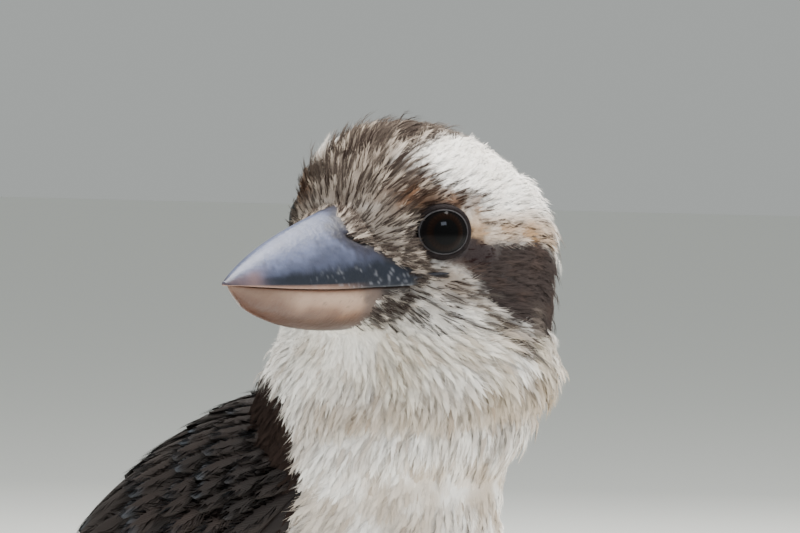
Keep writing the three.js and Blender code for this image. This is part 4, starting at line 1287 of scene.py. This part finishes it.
def vanes(place, root, tip, width, rise, tilt, colors_at, rows, point=0.5):
    """Feathers from root (n,2) to tip (n,2), where place(along, across, height) is in the world."""
    root, tip, width = np.asarray(root, float), np.asarray(tip, float), np.asarray(width)[:, None, None]
    count, k = len(root), len(RING)
    away = tip - root
    length = np.linalg.norm(away, axis=1)[:, None, None]
    away_u, away_v = away[:, 0, None, None], away[:, 1, None, None]
    t = np.linspace(0, 1, rows)[None, :, None]
    out, thick = RING.T
    outline = (0.42 + 0.58 * step(t, 0, 0.45)) * np.sqrt(np.clip((1 - t) / point, 0, 1)) ** 0.9
    half = width / 2 * outline * out
    half = half * (1 + 0.05 * rng.normal(0, 1, (count, rows, 1)) * (np.abs(out) > 0.9))
    along = t * length + 0.45 * np.abs(half) * (1 - t)
    height = rise[0] + (rise[1] - rise[0]) * t**1.2 - tilt * out
    height = height + (0.5 * (1 - np.abs(out) ** 2) + thick) * np.minimum(1, 4 * (1 - t) + 0.15)
    u = root[:, 0, None, None] + (away_u * along - away_v * half) / length
    v = root[:, 1, None, None] + (away_v * along + away_u * half) / length
    verts = place(u, v, height)
    colors = colors_at(np.broadcast_to(t, (count, rows, k)), half / np.maximum(width / 2, 1), verts)
    barb = along + np.abs(half) * 1.1 * np.where(thick < 0, -1, 1)
    offsets = (np.arange(count) * rows * k)[:, None, None]
    quads = (tube_quads(rows, k) + offsets).reshape(-1, 4)
    caps = (tube_caps(rows, k) + offsets).reshape(-1, k)
    return verts.reshape(-1, 3), quads, caps, colors.reshape(-1, 3), barb.reshape(-1)


def joined(groups):
    """Points and faces of forms that each start with their points, quads and caps."""
    starts = np.cumsum([0] + [len(group[0]) for group in groups])
    faces = [f + start for group, start in zip(groups, starts) for f in group[1:3]]
    return np.concatenate([group[0] for group in groups]), faces


def vane_piece(name, groups, slot, *nodes):
    verts, faces = joined(groups)
    colors, barbs = (np.concatenate([group[i] for group in groups]) for i in (3, 4))
    made = mesh_from(name, verts, faces, colors, skin_uv(verts))
    layer = made.data.attributes.new("Barb", "FLOAT", "POINT")
    layer.data.foreach_set("value", barbs.astype(np.float32))
    outward(made)
    finish_piece(made, VANE, slot, *nodes)
    made.data.calc_loop_triangles()
    print(name, "triangles", len(made.data.loop_triangles))


VANE = painted("wing_vane", 0.62, specular=0.22)
nodes, links = VANE.node_tree.nodes, VANE.node_tree.links
barb = nodes.new("ShaderNodeAttribute")
barb.attribute_name = "Barb"
wave = nodes.new("ShaderNodeMath")
wave.operation = "MULTIPLY"
wave.inputs[1].default_value = 9.0
sine = nodes.new("ShaderNodeMath")
sine.operation = "SINE"
links.new(barb.outputs["Fac"], wave.inputs[0])
links.new(wave.outputs[0], sine.inputs[0])
relief(VANE, sine.outputs[0], 0.35, 0.0002)
print("vane rings of", len(RING), "points")

# %% [markdown]
# The tiers of the wing from shoulder to tip are the lesser, median and greater coverts, the
# secondaries and the primaries, with scapulars along the back. They are dark brown, and the
# coverts carry the small pale blue spots that give the kookaburra its dappled shoulder.

# %% Tiers of the wing
DARK_WING = np.array([0.0125, 0.0078, 0.0062])
CORE_FROM, CORE_LONG = -4, 164
# number, stations of root and tip, shares of the arc at root and tip, width, rise, then tone,
# spots and pale edge, and rows along the feather
FLIGHT = (
    (9, (100, 92), (182, 164), (0.05, 0.30), (0.18, 0.38), (12, 13), (-2.2, -0.6), 0.85, 0, 0.5, 16),
    (12, (76, 70), (164, 134), (0.12, 0.78), (0.14, 0.76), (15, 19), (-2.0, 0.2), 1, 0, 0.6, 16),
)
COVERTS = (
    (5, (66, 66), (112, 100), (0.03, 0.16), (0.06, 0.18), (12, 12), (-1.8, 0.5), 1, 0.3, 0.3, 12),
    (14, (56, 52), (98, 88), (0.07, 0.86), (0.05, 0.82), (12, 13), (-2.2, 0.9), 1.1, 0.6, 0.5, 12),
    (14, (38, 36), (70, 62), (0.07, 0.88), (0.05, 0.84), (11, 12), (-2.2, 1.0), 1.1, 0.9, 0.4, 12),
    (13, (26, 24), (52, 46), (0.06, 0.90), (0.06, 0.88), (10, 11), (-2.0, 1.0), 1.15, 0.8, 0.4, 10),
    (12, (15, 14), (39, 34), (0.12, 0.92), (0.11, 0.90), (9, 10), (-2.0, 1.0), 1.15, 0.6, 0.3, 10),
    (11, (5, 5), (27, 23), (0.19, 0.94), (0.17, 0.92), (9, 9), (-2.0, 1.0), 1.1, 0.3, 0.3, 10),
    (10, (-4, -4), (17, 14), (0.27, 0.95), (0.23, 0.94), (8, 9), (-2.2, 0.9), 1, 0, 0.2, 10),
    (7, (4, 74), (42, 116), (0.88, 0.86), (0.84, 0.82), (13, 15), (-1.6, 1.8), 1, 0, 0.4, 12),
    (8, (-10, 60), (24, 96), (0.96, 0.94), (0.93, 0.92), (12, 14), (-1.6, 2.0), 0.9, 0, 0.4, 12),
)


def wing_tint(base, spot, edge):
    def colors_at(t, across, verts):
        tone = base * (1 + 0.16 * rng.normal(0, 1, (len(verts), 1, 1, 1)))
        tone = tone * (0.86 + 0.2 * value_noise(verts, 3, 31)[..., None])
        pale = step(t, 0.76, 0.88) * (1 - step(t, 0.93, 0.99)) * step(np.abs(across), 0.05, 0.25)
        pale = pale * spot * rng.random((len(verts), 1, 1)) ** 2.0
        rim = step(np.abs(across), 0.72, 0.98) * edge
        return layered(tone, ([0.12, 0.145, 0.175], 0.8 * pale), ([0.040, 0.029, 0.024], rim))

    return colors_at


def fringe(place, root, tip, width, rise, base, spot, each):
    """Loose barbs over the vanes: thin closed spikes that leave the shaft and pass the edge."""
    away = tip - root
    length = np.linalg.norm(away, axis=1)[:, None]
    count = len(root)
    t0 = rng.uniform(0.22, 0.93, (count, each))
    t1 = t0 + rng.uniform(0.10, 0.22, (count, each))
    hand = rng.choice([-1.0, 1.0], (count, each))
    taper = np.sqrt(np.clip((1.10 - t1) / 0.5, 0.01, 1))
    lift = rng.uniform(0.15, 0.75, (count, each))

    def spot_at(t, across, more):
        half = width[:, None] / 2 * across
        u = root[:, :1] + (away[:, :1] * t * length - away[:, 1:] * half) / length
        v = root[:, 1:] + (away[:, 1:] * t * length + away[:, :1] * half) / length
        return place(u, v, rise[0] + (rise[1] - rise[0]) * t**1.2 + 0.5 + more).reshape(-1, 3)

    a = spot_at(t0, hand * rng.uniform(0.0, 0.5, (count, each)) * taper, 0.1)
    b = spot_at(t1, hand * rng.uniform(0.4, 1.15, (count, each)) * taper, lift)
    up = unit(spot_at(t1, hand * taper, 1.0) - spot_at(t1, hand * taper, 0.0))
    across = unit(np.cross(b - a, up))
    tone = np.array(base) * rng.uniform(0.8, 2.1, (len(a), 1))
    tone = mix(tone, [0.075, 0.056, 0.048], 0.55 * rng.random(len(a)) ** 2)
    pale = (t1.ravel() > 0.84) * (rng.random(len(a)) < 0.75) * np.repeat(rng.random(count) < spot, each)
    tone = mix(tone, [0.20, 0.225, 0.255], 0.95 * pale * rng.random(len(a)) ** 0.6)
    verts, _, tris, per = blades(np.stack([a, b], 1), np.full((len(a), 1), 0.11), across, up)
    return verts, tris, np.repeat(tone, per, axis=0), soft_normals(up, across, per)


def tier(side, count, root_s, tip_s, root_share, tip_share, width, rise, dark, spot, edge, rows):
    """One tier of the wing: its feathers, and the loose barbs over them."""
    a, ends = np.linspace(0, 1, count), [0, 1]
    jitter = rng.normal(0, 1, (count, 4))
    s0 = np.interp(a, ends, root_s) + jitter[:, 0]
    s1 = np.interp(a, ends, tip_s) + 1.4 * jitter[:, 1]
    share0 = np.interp(a, ends, root_share) + 0.006 * jitter[:, 2]
    share1 = np.interp(a, ends, tip_share) + 0.008 * jitter[:, 3]
    reach = (bed(np.abs(s0 + s1) / 2, (wing_low(s1) + wing_high(s1)) / 2) + 6).mean()
    theta0 = wing_low(s0) * (1 - share0) + wing_high(s0) * share0
    theta1 = wing_low(s1) * (1 - share1) + wing_high(s1) * share1

    def place(s, across, height):
        return on_wing(s, across / reach, height, side)

    root, tip = np.stack([s0, theta0 * reach], 1), np.stack([s1, theta1 * reach], 1)
    size = np.interp(a, ends, width) * (1 + 0.05 * rng.normal(0, 1, count))
    base = DARK_WING * dark
    loose = fringe(place, root, tip, size, rise, base, spot, 90 if rows < 16 else 60)
    return vanes(place, root, tip, size, rise, 0.45, wing_tint(base, spot, edge), rows), loose


def wing_core(side, rings=22, around=17):
    """The swollen middle of the folded wing, which the feathers stand on."""
    out = []
    for t in np.linspace(0, 1, rings):
        s = CORE_FROM + CORE_LONG * t
        swell = math.sqrt(min(max(t / 0.1, 0.02), 1)) * math.sqrt(min(max((1 - t) / 0.1, 0.05), 1))
        centre = (wing_low(s) + wing_high(s)) / 2
        half = (wing_high(s) - wing_low(s)) / 2 * swell
        theta = np.linspace(centre - half, centre + half, around)
        out.append(on_wing(s, theta, -1.6 * swell, side))
        out.append(on_wing(s, theta[::-1], -2.6 - 0.8 * wing_thick(max(s, 0)), side))
    verts, k = np.concatenate(out), 2 * around
    # painted darker than the feathers, as the shade under them
    colors = np.broadcast_to(DARK_WING * 0.7, verts.shape)
    return verts, tube_quads(rings, k), tube_caps(rings, k), colors, np.zeros(len(verts))


print("tiers", len(FLIGHT) + len(COVERTS), "feathers in a wing", sum(row[0] for row in FLIGHT + COVERTS))

# %% [markdown]
# Each wing becomes three meshes: the long flight feathers with the core they stand on, the
# coverts over them, and all the loose barbs, which have soft normals and the plumage's finish.

# %% Wings
for name, side in (("left", 1), ("right", -1)):
    flight, flight_barbs = zip(*[tier(side, *row) for row in FLIGHT])
    coverts, covert_barbs = zip(*[tier(side, *row) for row in COVERTS])
    vane_piece("wing_" + name + "_flight", [wing_core(side), *flight], "brown_plumage", "wing_" + name)
    vane_piece("wing_" + name + "_coverts", coverts, "brown_plumage")
    barbs = flight_barbs + covert_barbs
    starts = np.cumsum([0] + [len(group[0]) for group in barbs])
    tris = np.concatenate([group[1] + start for group, start in zip(barbs, starts)])
    verts, tones, soft = (np.concatenate([group[i] for group in barbs]) for i in (0, 2, 3))
    loose = mesh_from("wing_" + name + "_barbs", verts, [tris], tones, skin_uv(verts), soft)
    finish_piece(loose, PLUME, "brown_plumage")
    print(loose.name, "triangles", len(tris))

# %% [markdown]
# The tail is twelve long feathers in a narrow fan, rufous with black bars, and white at the
# tips. The middle pair lies on top and the outer ones tuck under it in turn.

# %% Tail
TAIL = turn("Z", -90) @ turn("Y", -19)


def on_tail(along, left, up):
    return np.stack(np.broadcast_arrays(-along, left, up), -1) @ TAIL.T + at(-62, 0, 64)


def tail_tint(rank):
    def colors_at(t, across, verts):
        place = t * 150 + 6 * np.abs(across) + 0.8 * value_noise(verts, 5, 12)
        ground = mix([0.20, 0.095, 0.045], [0.62, 0.55, 0.47], 0.75 * step(rank, 3, 5))
        return layered(
            ground,
            ([0.020, 0.015, 0.014], 0.95 * step(np.sin(place * 2 * np.pi / 15), -0.15, 0.25)),
            ([0.72, 0.68, 0.62], step(t, 0.90, 0.94) * step(rank, 0.5, 1.5)),
        )

    return colors_at


FEATHERS, ROWS, POINT, WIDTH = 12, 40, 0.12, 18.5
feathers = []
for i in range(FEATHERS):
    order = i - (FEATHERS - 1) / 2
    rank = abs(order) - 0.5
    root, tip = (12, 1.3 * order), (149 - 0.55 * rank * rank, 2.75 * order)
    on_top = i == FEATHERS // 2
    lifted = 0.6 if on_top else 0.0
    rise, tilt = (lifted, lifted - 0.42 * rank), 0 if on_top else -0.55 * np.sign(order)
    feathers.append(vanes(on_tail, [root], [tip], [WIDTH], rise, tilt, tail_tint(rank), ROWS, POINT))
vane_piece("tail_feathers", feathers, "rufous_plumage", "tail")

# %% [markdown]
# The legs are short. Each shank and toe is a tube drawn along a bent line, ringed by horny
# scutes, with three toes forward, the outer two joined at their base, and one toe back. The
# claws are curved cones, a little flattened at the sides.

# %% Feet and claws
def scutes(low, high, number, depth=0.05):
    def radius_at(t, angle):
        saw = (t * number) % 1
        plate = depth * (1 - 2 * np.abs(saw - 0.62) ** 1.4) * step(np.sin(angle), -0.3, 0.3)
        pad = 0.06 * np.cos(t * 6 * np.pi) * step(-np.sin(angle), -0.2, 0.6)
        ends = np.sqrt(np.clip(np.minimum(t, 1 - t) / 0.03, 0.05, 1))
        return (low + (high - low) * t) * (1 + plate + pad) * ends

    return radius_at


FOOT = painted("foot_scales", 0.5, bump=0.5, scale=1400, specular=0.35)
CLAW = painted("claw_horn", 0.3, specular=0.5)
SHANK = ((-7, 21, 34), (-7, 21, 31), (-0.3, 21.5, 18.4), (8, 22, 4.6))
TOES = ((24, 18, 2.3), (2, 27, 2.6), (-10, 24, 2.5), (186, 15, 2.4))
CLAW_LINE = ((0.1, 0), (3.5, 0.7), (6.7, -0.3), (8.2, -1.45))


def shank_radius(t, angle):
    return scutes(3.5, 2.9, 11, 0.06)(t, angle) + 0.7 * t**8


def claw_radius(t, angle):
    return np.maximum(1.4 * (1 - t**1.6), 0.12)


for name, side in (("left", 1), ("right", -1)):
    parts = [limb([at(forward, side * out, up) for forward, out, up in SHANK], shank_radius, 90, 24)]
    for index, (turned, length, radius) in enumerate(TOES):
        heading = math.radians(-turned * side)
        ahead = np.array([math.sin(heading), -math.cos(heading), 0])
        base = at(8, side * 22, 0)
        toe_line = ((0, 4.2), (length * 0.3, 2.35), (length * 0.7, 1.95), (length, 2.15))
        line = [base + ahead * d + [0, 0, z] for d, z in toe_line]
        parts.append(limb(line, scutes(radius * 1.02, radius * 0.76, 9), 60, 18))
        reach = [line[3] + ahead * d + [0, 0, z] for d, z in CLAW_LINE]
        v, quads, caps, t = limb(reach, claw_radius, 24, 14, 0.8)
        tone = mix([0.055, 0.045, 0.040], [0.015, 0.012, 0.011], t)
        claw = mesh_from(f"claw_horn_{name}_{index + 1}", v, [quads, caps], tone, skin_uv(v))
        finish_piece(claw, CLAW, "claw", f"claw_{name}_{index + 1}")
    verts, faces = joined(parts)
    verts[:, 2] = np.maximum(verts[:, 2], 0.02)
    rings = [0.5 + 0.5 * np.cos(t * 2 * np.pi * 9) for _, _, _, t in parts]
    tone = mix([0.26, 0.235, 0.19], [0.12, 0.105, 0.09], np.concatenate(rings))
    tone = tone * (1 + 0.2 * value_noise(verts, 1.5, 3)[:, None])
    faces.sort(key=lambda f: f.shape[1])
    foot = mesh_from("foot_scaled_" + name, verts, faces, tone, skin_uv(verts))
    outward(foot)
    finish_piece(foot, FOOT, "scales", "foot_" + name)
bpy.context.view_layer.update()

# %% [markdown]
# The bird stands on pale paper in an even grey-green light, like the soft daylight of the
# photograph. A large soft lamp above is the sky, a weak one fills the shade, one behind draws the
# edge of the back, and a small one is the bright spot in the eye.

# %% Floor, light and view
bpy.ops.mesh.primitive_plane_add(size=12, location=(0, 0, 0))
floor = bpy.context.object
floor.name = "floor"
paper = bpy.data.materials.new("floor_paper")
paper.use_nodes = True
shader = paper.node_tree.nodes["Principled BSDF"]
shader.inputs["Base Color"].default_value = (0.93, 0.935, 0.90, 1)
shader.inputs["Roughness"].default_value = 0.9
shader.inputs["Specular IOR Level"].default_value = 0.05
shader.inputs["IOR"].default_value = 1.45
floor.data.materials.append(paper)

world = bpy.context.scene.world or bpy.data.worlds.new("studio")
bpy.context.scene.world = world
world.use_nodes = True
world.node_tree.nodes["Background"].inputs["Color"].default_value = (0.80, 0.84, 0.82, 1)
world.node_tree.nodes["Background"].inputs["Strength"].default_value = 0.52

LIT = Vector((0, -100 * MM, 210 * MM))
# name, place from the eye to the right, up and toward the camera in mm, size in m, power, colour
LAMPS = (
    ("key_above", (330, 1120, -30), (0.8, 0.8), 60, (1.0, 0.985, 0.95)),
    ("fill_left", (-1000, 350, 700), (1.2, 1.2), 10, (0.93, 0.97, 1.0)),
    ("rim_right", (350, 900, -1300), (0.8, 1.0), 24, (1.0, 0.99, 0.94)),
    ("catch_light", (560, 420, 800), (0.30, 0.18), 5, (0.72, 0.82, 1.0)),
)
for name, (sideways, up, toward), size, power, color in LAMPS:
    light = bpy.data.lights.new(name, "AREA")
    light.shape = "RECTANGLE"
    light.size, light.size_y = size
    light.energy = power
    light.color = color
    lamp = bpy.data.objects.new(name, light)
    bpy.context.scene.collection.objects.link(lamp)
    lamp.location = Vector((EYE_SEEN + right * sideways + above * up + back * toward) * MM)
    lamp.rotation_euler = (LIT - lamp.location).to_track_quat("-Z", "Y").to_euler()
print("lamps", len(LAMPS))
